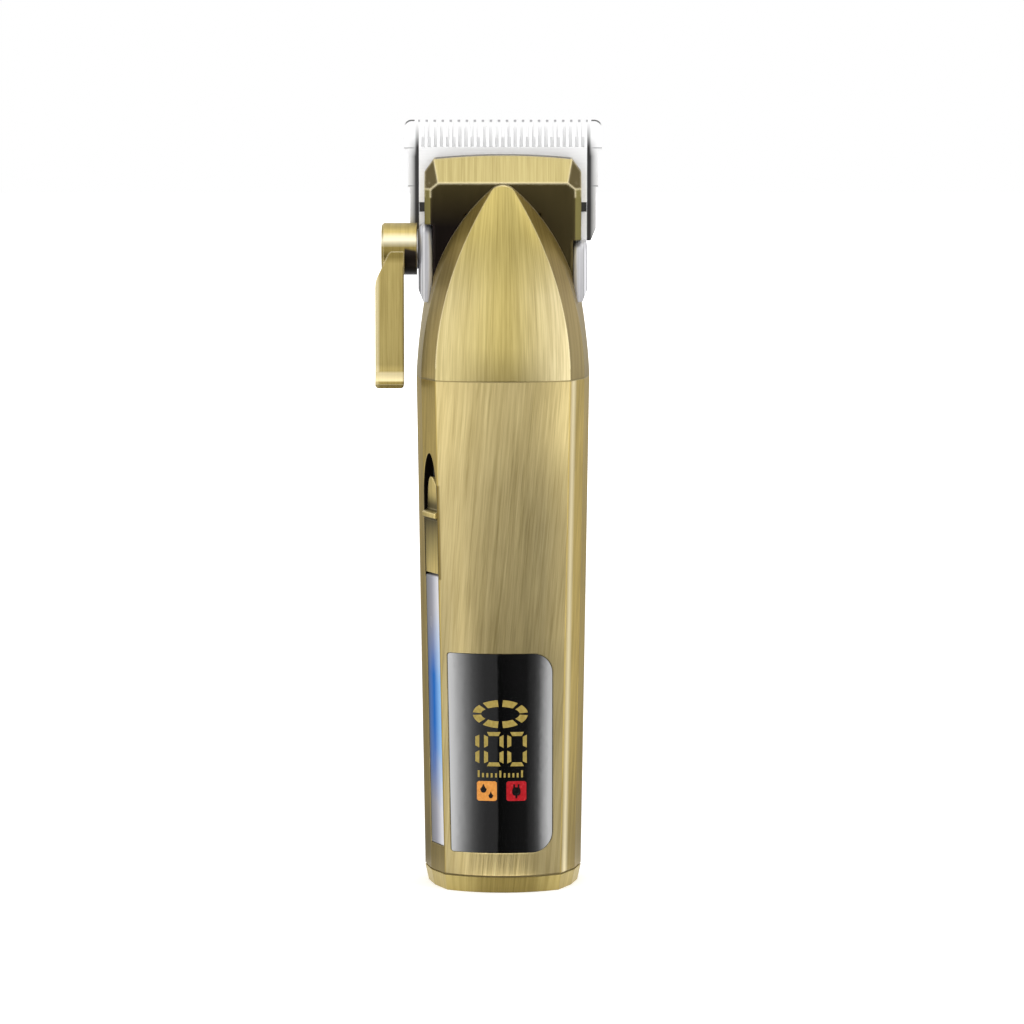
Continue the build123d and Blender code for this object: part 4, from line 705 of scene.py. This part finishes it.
def plasticFinish(name, kind):
    s = plasticSet[kind]
    finish, tree, shader = newFinish(name)
    speck = noiseNode(tree, (s["size"],) * 3, plasticLook["detail"])
    colour = rampNode(tree, speck, list(zip(plasticLook["tones"], (s["shade"], s["colour"]))))
    tree.links.new(colour, shader.inputs["Base Color"])
    setRough(tree, shader, speck, s["rough"])
    setBump(tree, shader, speck, *plasticLook["bump"])
    return finish


# Smoked gloss lens over the display
lensSet = {
    "colour": (0.0016, 0.0016, 0.0018), "shade": (0.0008, 0.0008, 0.0009),
    "smear": (0.012, 0.012, 0.030), "detail": 4.0, "rough": (0.035, 0.070), "ior": 2.9,
}


def lensFinish(name):
    finish, tree, shader = newFinish(name)
    smear = noiseNode(tree, lensSet["smear"], lensSet["detail"])
    colour = rampNode(tree, smear, list(zip(noiseSpan, (lensSet["shade"], lensSet["colour"]))))
    tree.links.new(colour, shader.inputs["Base Color"])
    setRough(tree, shader, smear, lensSet["rough"])
    shader.inputs["IOR"].default_value = lensSet["ior"]
    return finish


# Light strip, lit blue along the middle of its length
stripSet = {
    "height": (0.0103, 0.0733), "cloud": (0.004, 0.004, 0.012), "detail": 2.0, "waver": (-0.03, 0.03),
    "side": (0.4315, -0.9020), "start": 0.0028416, "slope": 0.003113, "foot": 0.0041,  # across the bevel
    "half": 0.0034,
    # plain and blue: painted shade across the strip, darker on its left side and lighter on its right
    "plain": [
        (0.0, (0.16, 0.16, 0.16)), (0.45, (0.27, 0.27, 0.31)), (0.75, (0.50, 0.50, 0.54)),
        (1.0, (0.72, 0.71, 0.72)),
    ],
    "blue": [
        (0.0, (0.07, 0.09, 0.14)), (0.22, (0.06, 0.14, 0.36)), (0.48, (0.004, 0.11, 0.42)),
        (1.0, (0.26, 0.50, 0.82)),
    ],
    "lit": [(0.15, 0.0), (0.34, 0.85), (0.45, 1.0), (0.62, 1.0), (0.74, 0.45), (0.88, 0.0)],
    "glow": 0.18, "gloss": 0.05, "rough": (0.16, 0.28),
}


def stripFinish(name):
    s = stripSet
    finish, tree, shader = newFinish(name)
    place = objectPlace(tree)
    cloud = noiseNode(tree, s["cloud"], s["detail"])
    along = rangeNode(tree, place["Z"], *s["height"])
    along = plus(tree, along, rangeNode(tree, cloud, *noiseSpan, *s["waver"]))
    across = plus(tree, times(tree, place["X"], s["side"][0]), times(tree, place["Y"], s["side"][1]))
    rise = times(tree, minus(tree, place["Z"], s["foot"]), s["slope"])
    across = minus(tree, minus(tree, across, s["start"]), rise)
    across = rangeNode(tree, across, -s["half"], s["half"])
    plain, blue = rampNode(tree, across, s["plain"]), rampNode(tree, across, s["blue"])
    setGlow(tree, shader, mixColour(tree, levelsAt(tree, along, s["lit"]), plain, blue), s["glow"])
    shader.inputs["Specular IOR Level"].default_value = s["gloss"]
    setRough(tree, shader, cloud, s["rough"])
    return finish


# Lit marks on the display
markSet = {
    "amber": {"colour": (0.36, 0.270, 0.066), "dim": (0.28, 0.205, 0.048), "glow": 0.25},
    "orange": {"colour": (0.70, 0.29, 0.055), "dim": (0.57, 0.21, 0.040), "glow": 0.25},
    "red": {"colour": (0.42, 0.008, 0.014), "dim": (0.33, 0.006, 0.010), "glow": 0.25},
    "dark": {"colour": (0.012, 0.008, 0.008), "dim": (0.006, 0.004, 0.004), "glow": 0.0},
}
markLook = {"speck": (0.0006, 0.0006, 0.0006), "tones": (0.3, 0.6), "rough": (0.15, 0.30)}


def markFinish(name, kind):
    s = markSet[kind]
    finish, tree, shader = newFinish(name)
    speck = noiseNode(tree, markLook["speck"])
    colour = rampNode(tree, speck, list(zip(markLook["tones"], (s["dim"], s["colour"]))))
    setGlow(tree, shader, colour, s["glow"])
    setRough(tree, shader, speck, markLook["rough"])
    return finish


slotFinish = {
    "brass_body": brassFinish(
        "brass_body", tilt=4.0, edge=0.12, span=(0.0065, 0.1165), scar=0.55, paint=bodyPaint,
    ),
    "chrome_wall": metalFinish("chrome_wall", "chrome", wallLines),
    "screw_steel": metalFinish("screw_steel", "screw"),
    "motor_steel": metalFinish("motor_steel", "motor"),
    "drive_brass": metalFinish("drive_brass", "drive"),
    "black_plastic": plasticFinish("black_plastic", "black"),
    "module_black": plasticFinish("module_black", "module"),
    "seal_rubber": plasticFinish("seal_rubber", "rubber"),
    "board_green": plasticFinish("board_green", "board"),
    "cell_wrap": plasticFinish("cell_wrap", "wrap"),
    "lead_red": plasticFinish("lead_red", "lead"),
    "lamp_white": plasticFinish("lamp_white", "lamp"),
    "lens_black": lensFinish("lens_black"),
    "light_blue": stripFinish("light_blue"),
}
nodeFinish = {  # pieces that differ from the rest of their slot
    "head_plate": brassFinish(
        "brass_head", around=False, tint=plateSet["tint"], edge=0.70, span=(0.1603, 0.1720), wide=0.0009,
        low=0.94, paint=platePaint,
    ),
    "nose_cover": brassFinish(
        "brass_nose", tint=noseSet["tint"], edge=0.7, span=(0.1215, 0.17), wide=0.0006, low=0.955, scar=0.4,
        paint=nosePaint,
    ),
    "taper_lever": brassFinish(
        "brass_lever", around=False, tint=leverSet["tint"], edge=0.40, paint=leverPaint,
    ),
    "switch_slider": brassFinish(
        "brass_thumb", around=False, tint=sliderSet["tint"], edge=0.3, paint=sliderPaint,
    ),
    "bottom_cap": brassFinish("brass_cap", tilt=4.0, tint=capSet["tint"], edge=0.0, paint=capPaint),
    "fixed_blade": metalFinish("blade_fixed", "blade", bladeLines),
    "cutter_blade": metalFinish("blade_cutter", "cutter"),
    "tension_spring": metalFinish("spring_black", "spring"),
}
marks = {kind: markFinish("mark_" + kind, kind) for kind in markSet}

for row in frame["record"]["subparts"]:
    chosen = nodeFinish.get(row["node"]) or slotFinish[row["material_slot"]]
    cadMesh = cadNodes[row["node"]].data
    cadMesh.materials.clear()
    cadMesh.materials.append(chosen)
print("finishes made:", len(slotFinish) + len(nodeFinish) + len(marks))


# Lit marks laid on the curved lens
displaySet = {
    "lift": 0.00006, "sink": 0.00004, "rayFrom": -0.08,
    "ringCentre": (-0.00059, 0.0420), "ringOuter": (0.00635, 0.00325), "ringInner": (0.00445, 0.00170),
    "ringDashes": 8, "ringGap": 11.0, "ringParts": 6,
    "digitFoot": 0.0298, "digitHeight": 0.0080, "digitWidth": 0.0045, "digitLefts": (-0.00436, 0.00100),
    "oneLeft": -0.00636, "barWidth": 0.00092, "barGap": 0.00034, "barCut": 0.5, "barParts": 4,
    "tickFoot": 0.0272, "tickHeight": 0.0016, "tickSpan": (-0.00560, 0.00440), "tickWidth": 0.00044,
    "tickCount": 11, "tickLong": 5, "tickShort": 0.62,
    "tileSize": 0.0046, "tileCorner": 0.00035, "tileParts": 12,
    "oilTile": (-0.00370, 0.0240), "plugTile": (0.00310, 0.0240),
    "drops": [  # place, width and height
        ((-0.0008, 0.0006), 0.0015, 0.0020), ((0.0009, -0.0009), 0.0011, 0.0015),
    ],
    "plugBody": (-0.02, 0.42, 0.14),  # place, size and corner, as shares of the tile
    "plugBars": [(-0.11, 0.16, 0.34, 0.09), (0.11, 0.16, 0.34, 0.09), (0.0, -0.36, -0.20, 0.10)],
}
dropSet = {"parts": 8, "belly": 0.42, "sag": 0.08, "lean": 0.02, "point": 0.62, "taper": 1.5, "neck": 0.06}
lensMesh = cadNodes["display_lens"].data
lensTree = BVHTree.FromPolygons(
    [v.co.copy() for v in lensMesh.vertices], [list(p.vertices) for p in lensMesh.polygons],
)


def meshObject(name, mesh, finish):
    data = bpy.data.meshes.new(name)
    mesh.to_mesh(data)
    mesh.free()
    data.materials.append(finish)
    made = bpy.data.objects.new(name, data)
    scene.collection.objects.link(made)
    return made


def onLens(x, z, lift):
    hit = lensTree.ray_cast(Vector((x, displaySet["rayFrom"], z)), Vector((0, 1, 0)))[0]
    return Vector((x, hit.y - lift, z))


def ribbon(mesh, pairs, lift):
    # A thin closed strip between pairs of points, following the lens
    sink = -displaySet["sink"]
    rows = []
    for a, b in pairs:
        corners = ((a, lift), (b, lift), (b, sink), (a, sink))
        rows.append([mesh.verts.new(onLens(*point, height)) for point, height in corners])
    for near, far in zip(rows, rows[1:]):
        for side in range(4):
            after = (side + 1) % 4
            mesh.faces.new((near[side], near[after], far[after], far[side]))
    mesh.faces.new(rows[0][::-1])
    mesh.faces.new(rows[-1])


def displayPiece(name, strips, kind, layer=1):
    mesh = bmesh.new()
    for pairs in strips:
        ribbon(mesh, pairs, layer * displaySet["lift"])
    bmesh.ops.recalc_face_normals(mesh, faces=mesh.faces)
    piece = meshObject(name, mesh, marks[kind])
    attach(piece, "housing")


def ringStrips():
    s = displaySet
    cx, cz = s["ringCentre"]
    step = 360.0 / s["ringDashes"]
    strips = []
    for dash in range(s["ringDashes"]):
        start = dash * step + s["ringGap"] / 2
        pairs = []
        for part in range(s["ringParts"] + 1):
            angle = math.radians(start + (step - s["ringGap"]) * part / s["ringParts"])
            pairs.append([
                (cx + rx * math.cos(angle), cz + rz * math.sin(angle))
                for rx, rz in (s["ringInner"], s["ringOuter"])
            ])
        strips.append(pairs)
    return strips


def bar(a, b, inward):
    # A segment that is long on its outer side and short on its inner side
    a, b, inward = Vector(a), Vector(b), Vector(inward)
    width, parts = displaySet["barWidth"], displaySet["barParts"]
    cut = (b - a).normalized() * width * displaySet["barCut"]
    pairs = []
    for part in range(parts + 1):
        outer = a.lerp(b, part / parts)
        inner = (a + cut).lerp(b - cut, part / parts) + inward * width
        pairs.append((tuple(outer), tuple(inner)))
    return pairs


def digitStrips(left, segments):
    s = displaySet
    gap = s["barGap"]
    x0, x1 = left, left + s["digitWidth"]
    z0, z2 = s["digitFoot"], s["digitFoot"] + s["digitHeight"]
    z1 = (z0 + z2) / 2
    ends = {
        "top": ((x0 + 2 * gap, z2), (x1 - 2 * gap, z2), (0, -1)),
        "foot": ((x0 + 2 * gap, z0), (x1 - 2 * gap, z0), (0, 1)),
        "upLeft": ((x0, z1 + gap), (x0, z2 - 2 * gap), (1, 0)),
        "upRight": ((x1, z1 + gap), (x1, z2 - 2 * gap), (-1, 0)),
        "lowLeft": ((x0, z0 + 2 * gap), (x0, z1 - gap), (1, 0)),
        "lowRight": ((x1, z0 + 2 * gap), (x1, z1 - gap), (-1, 0)),
    }
    return [bar(*ends[name]) for name in segments]


def upright(x, width, low, high):
    # A plain upright bar
    return [((x + side * width / 2, low), (x + side * width / 2, high)) for side in (-1, 1)]


def tickStrips():
    s = displaySet
    first, last = s["tickSpan"]
    strips = []
    for tick in range(s["tickCount"]):
        x = first + (last - first) * tick / (s["tickCount"] - 1)
        high = s["tickHeight"] * (1.0 if tick % s["tickLong"] == 0 else s["tickShort"])
        strips.append(upright(x, s["tickWidth"], s["tickFoot"], s["tickFoot"] + high))
    return strips


def tile(centre, size, corner):
    # A square with rounded corners, cut into columns
    half = size / 2
    pairs = []
    for part in range(displaySet["tileParts"] + 1):
        x = -half + size * part / displaySet["tileParts"]
        over = max(0.0, abs(x) - (half - corner))
        high = half - corner + math.sqrt(max(0.0, corner * corner - over * over))
        pairs.append(((centre[0] + x, centre[1] - high), (centre[0] + x, centre[1] + high)))
    return pairs


def drop(centre, width, height):
    # A hanging drop, pointed at its top
    s = dropSet
    pairs = []
    for part in range(s["parts"] + 1):
        along = part / s["parts"]
        x = -1.0 + 2.0 * along
        low = -math.sqrt(max(0.0, 1.0 - x * x)) * s["belly"] - s["sag"] - s["lean"] * along
        high = (1.0 - abs(x)) ** s["taper"] * s["point"] - s["neck"]
        side = centre[0] + x * width / 2
        pairs.append(((side, centre[1] + low * height), (side, centre[1] + high * height)))
    return pairs


def plugStrips(centre, size):
    # A plug sign: body, two pins and a lead
    cx, cz = centre
    rise, wide, corner = displaySet["plugBody"]
    strips = [tile((cx, cz + rise * size), wide * size, corner * size)]
    for x, foot, head, width in displaySet["plugBars"]:
        strips.append(upright(cx + x * size, width * size, cz + foot * size, cz + head * size))
    return strips


def layDisplay():
    s = displaySet
    one, zero = ("upRight", "lowRight"), ("top", "foot", "upLeft", "upRight", "lowLeft", "lowRight")
    digits = digitStrips(s["oneLeft"] - s["digitWidth"] + s["barWidth"], one)
    for left in s["digitLefts"]:
        digits += digitStrips(left, zero)
    displayPiece("display_ring", ringStrips(), "amber")
    displayPiece("display_number", digits, "amber")
    displayPiece("display_ticks", tickStrips(), "amber")
    displayPiece("display_oil_tile", [tile(s["oilTile"], s["tileSize"], s["tileCorner"])], "orange")
    displayPiece("display_plug_tile", [tile(s["plugTile"], s["tileSize"], s["tileCorner"])], "red")
    x, z = s["oilTile"]
    displayPiece("display_oil_sign", [
        drop((x + dx, z + dz), width, height) for (dx, dz), width, height in s["drops"]
    ], "dark", 2)
    displayPiece("display_plug_sign", plugStrips(s["plugTile"], s["tileSize"]), "dark", 2)


layDisplay()
print("display marks laid")


# Studio: pale floor, white surroundings, a light tent that only the gloss shows, and soft lamps
floorSet = {
    "size": 6.0, "colour": (0.90, 0.90, 0.90), "dim": 0.985, "speck": (0.02, 0.02, 0.02), "detail": 2.0,
    "rough": 0.9,
    "near": 0.35, "far": 1.1, "lift": 0.34,  # seen whiter away from the object
}


def seenRays(tree):
    # 1 for what the camera sees, also in gloss and through glass
    path = addNode(tree, "ShaderNodeLightPath")
    seen = mathNode(tree, "MAXIMUM", path.outputs["Is Camera Ray"], path.outputs["Is Glossy Ray"])
    return mathNode(tree, "MAXIMUM", seen, path.outputs["Is Transmission Ray"])


def makeFloor():
    s = floorSet
    finish, tree, shader = newFinish("floor_paint")
    shade = tuple(c * s["dim"] for c in s["colour"])
    speck = noiseNode(tree, s["speck"], s["detail"])
    colour = rampNode(tree, speck, list(zip(noiseSpan, (shade, s["colour"]))))
    tree.links.new(colour, shader.inputs["Base Color"])
    shader.inputs["Roughness"].default_value = s["rough"]
    shader.inputs["Specular IOR Level"].default_value = 0.0
    shader.inputs["Emission Color"].default_value = (1.0, 1.0, 1.0, 1.0)
    coords = addNode(tree, "ShaderNodeTexCoord")
    away = addNode(tree, "ShaderNodeVectorMath", operation="LENGTH")
    tree.links.new(coords.outputs["Object"], away.inputs[0])
    lift = rangeNode(tree, away.outputs["Value"], s["near"], s["far"], s["lift"], 1.0, True)
    tree.links.new(times(tree, seenRays(tree), lift), shader.inputs["Emission Strength"])
    mesh = bmesh.new()
    bmesh.ops.create_grid(mesh, x_segments=2, y_segments=2, size=s["size"] / 2)
    meshObject("floor", mesh, finish)


worldSet = {"turn": (-0.35, 0.25), "levels": (0.45, 1.0)}  # dimmer in front than behind


def makeWorld():
    world = bpy.data.worlds.new("white_studio")
    scene.world = world
    world.use_nodes = True
    tree = world.node_tree
    background = tree.nodes["Background"]
    background.inputs["Color"].default_value = (1.0, 1.0, 1.0, 1.0)
    coords = addNode(tree, "ShaderNodeTexCoord")
    place = addNode(tree, "ShaderNodeSeparateXYZ")
    tree.links.new(coords.outputs["Generated"], place.inputs["Vector"])
    level = rangeNode(tree, place.outputs["Y"], *worldSet["turn"], *worldSet["levels"], True)
    tree.links.new(mathNode(tree, "MAXIMUM", level, seenRays(tree)), background.inputs["Strength"])


tentSet = {
    "inner": 0.030, "outer": 0.30, "height": 0.32, "lift": 0.0008, "parts": 96,
    "power": 2.95, "most": 4.0, "turn": (0.012, 0.045), "even": (0.05, 0.21),
    "levels": [  # near the floor: degrees from straight ahead, left is negative, and share of the power
        (-180, 0.34), (-168, 0.34), (-160, 0.06), (-146, 0.07), (-128, 0.13), (-100, 0.27), (-75, 0.50),
        (-62, 0.95), (-55, 1.0), (-48, 0.72), (-42, 0.44), (-35, 0.22), (-29, 0.10), (-23, 0.055),
        (-17, 0.036), (-5.0, 0.032), (-4.6, 0.003), (22, 0.010), (30, 0.045), (34, 0.10), (40, 0.45),
        (45, 0.72), (54, 0.74), (62, 0.60), (75, 0.55), (95, 0.30), (128, 0.26), (146, 0.09), (160, 0.06),
        (168, 0.34), (180, 0.34),
    ],
    "upper": [  # higher up: degrees and factor
        (-180, 1.3), (-168, 1.3), (-160, 0.25), (-146, 0.28), (-128, 0.5), (-100, 0.9), (-75, 1.6),
        (-55, 1.9), (-40, 1.6), (-20, 1.15), (0, 0.85), (15, 0.55), (30, 0.45), (40, 0.7), (50, 1.9),
        (60, 2.8), (75, 2.5), (90, 1.5), (110, 0.9), (128, 0.95), (146, 0.35), (160, 0.25), (168, 1.3),
        (180, 1.3),
    ],
    "rise": [  # higher up: height and factor
        (0.0, 0.72), (0.05, 0.74), (0.08, 0.85), (0.13, 1.1), (0.18, 1.6), (0.24, 1.0), (0.30, 0.5),
    ],
}


def tentFinish():
    s = tentSet
    finish = bpy.data.materials.new("tent_cloth")
    finish.use_nodes = True
    tree = finish.node_tree
    tree.nodes.clear()
    place = objectPlace(tree)
    angle = mathNode(tree, "ARCTAN2", place["X"], times(tree, place["Y"], -1.0))
    turn = times(tree, angle, math.degrees(1.0))
    low = times(tree, levelsAt(tree, turn, s["levels"]), s["power"])
    high = levelsAt(tree, turn, s["upper"], s["most"])
    even = rangeNode(tree, place["Z"], *s["even"])
    high = plus(tree, high, times(tree, even, minus(tree, 1.0, high)))
    high = times(tree, high, levelsAt(tree, place["Z"], s["rise"], s["most"]))
    strength = addNode(tree, "ShaderNodeMix", data_type="FLOAT")
    tree.links.new(rangeNode(tree, place["Z"], *s["turn"], smooth=True), strength.inputs["Factor"])
    tree.links.new(low, strength.inputs["A"])
    tree.links.new(high, strength.inputs["B"])
    glow = addNode(tree, "ShaderNodeEmission")
    tree.links.new(strength.outputs["Result"], glow.inputs["Strength"])
    out = addNode(tree, "ShaderNodeOutputMaterial")
    tree.links.new(glow.outputs["Emission"], out.inputs["Surface"])
    return finish


def makeTent():
    s = tentSet
    mesh = bmesh.new()
    rings = []
    for radius, height in ((s["inner"], s["lift"]), (s["outer"], s["lift"]), (s["outer"], s["height"])):
        ring = []
        for part in range(s["parts"]):
            angle = 2.0 * math.pi * part / s["parts"]
            ring.append(mesh.verts.new((radius * math.sin(angle), radius * math.cos(angle), height)))
        rings.append(ring)
    for low, high in zip(rings, rings[1:]):
        for part in range(s["parts"]):
            after = (part + 1) % s["parts"]
            mesh.faces.new((low[part], low[after], high[after], high[part]))
    tent = meshObject("light_tent", mesh, tentFinish())
    for kind in ("camera", "diffuse", "transmission", "volume_scatter", "shadow"):
        setattr(tent, "visible_" + kind, False)


lampSet = {
    "aim": (0.0, 0.0, 0.10),
    "left_panel": {"place": (-0.80, -1.05, 0.72), "size": (1.4, 1.4), "power": 6.0},
    "right_strip": {"place": (0.98, -0.76, 0.60), "size": (0.40, 1.0), "power": 3.4},
    "top_fill": {"place": (0.05, -0.30, 1.30), "size": (1.2, 1.0), "power": 4.3},
}


def makeLamp(name):
    s = lampSet[name]
    data = bpy.data.lights.new(name, "AREA")
    data.shape = "RECTANGLE"
    data.size, data.size_y = s["size"]
    data.energy = s["power"]
    lamp = bpy.data.objects.new(name, data)
    lamp.location = s["place"]
    aimAt(lamp, lampSet["aim"])
    lamp.visible_camera = False
    scene.collection.objects.link(lamp)


makeFloor()
makeWorld()
makeTent()
for lampName in ("left_panel", "right_strip", "top_fill"):
    makeLamp(lampName)
print("studio lit")
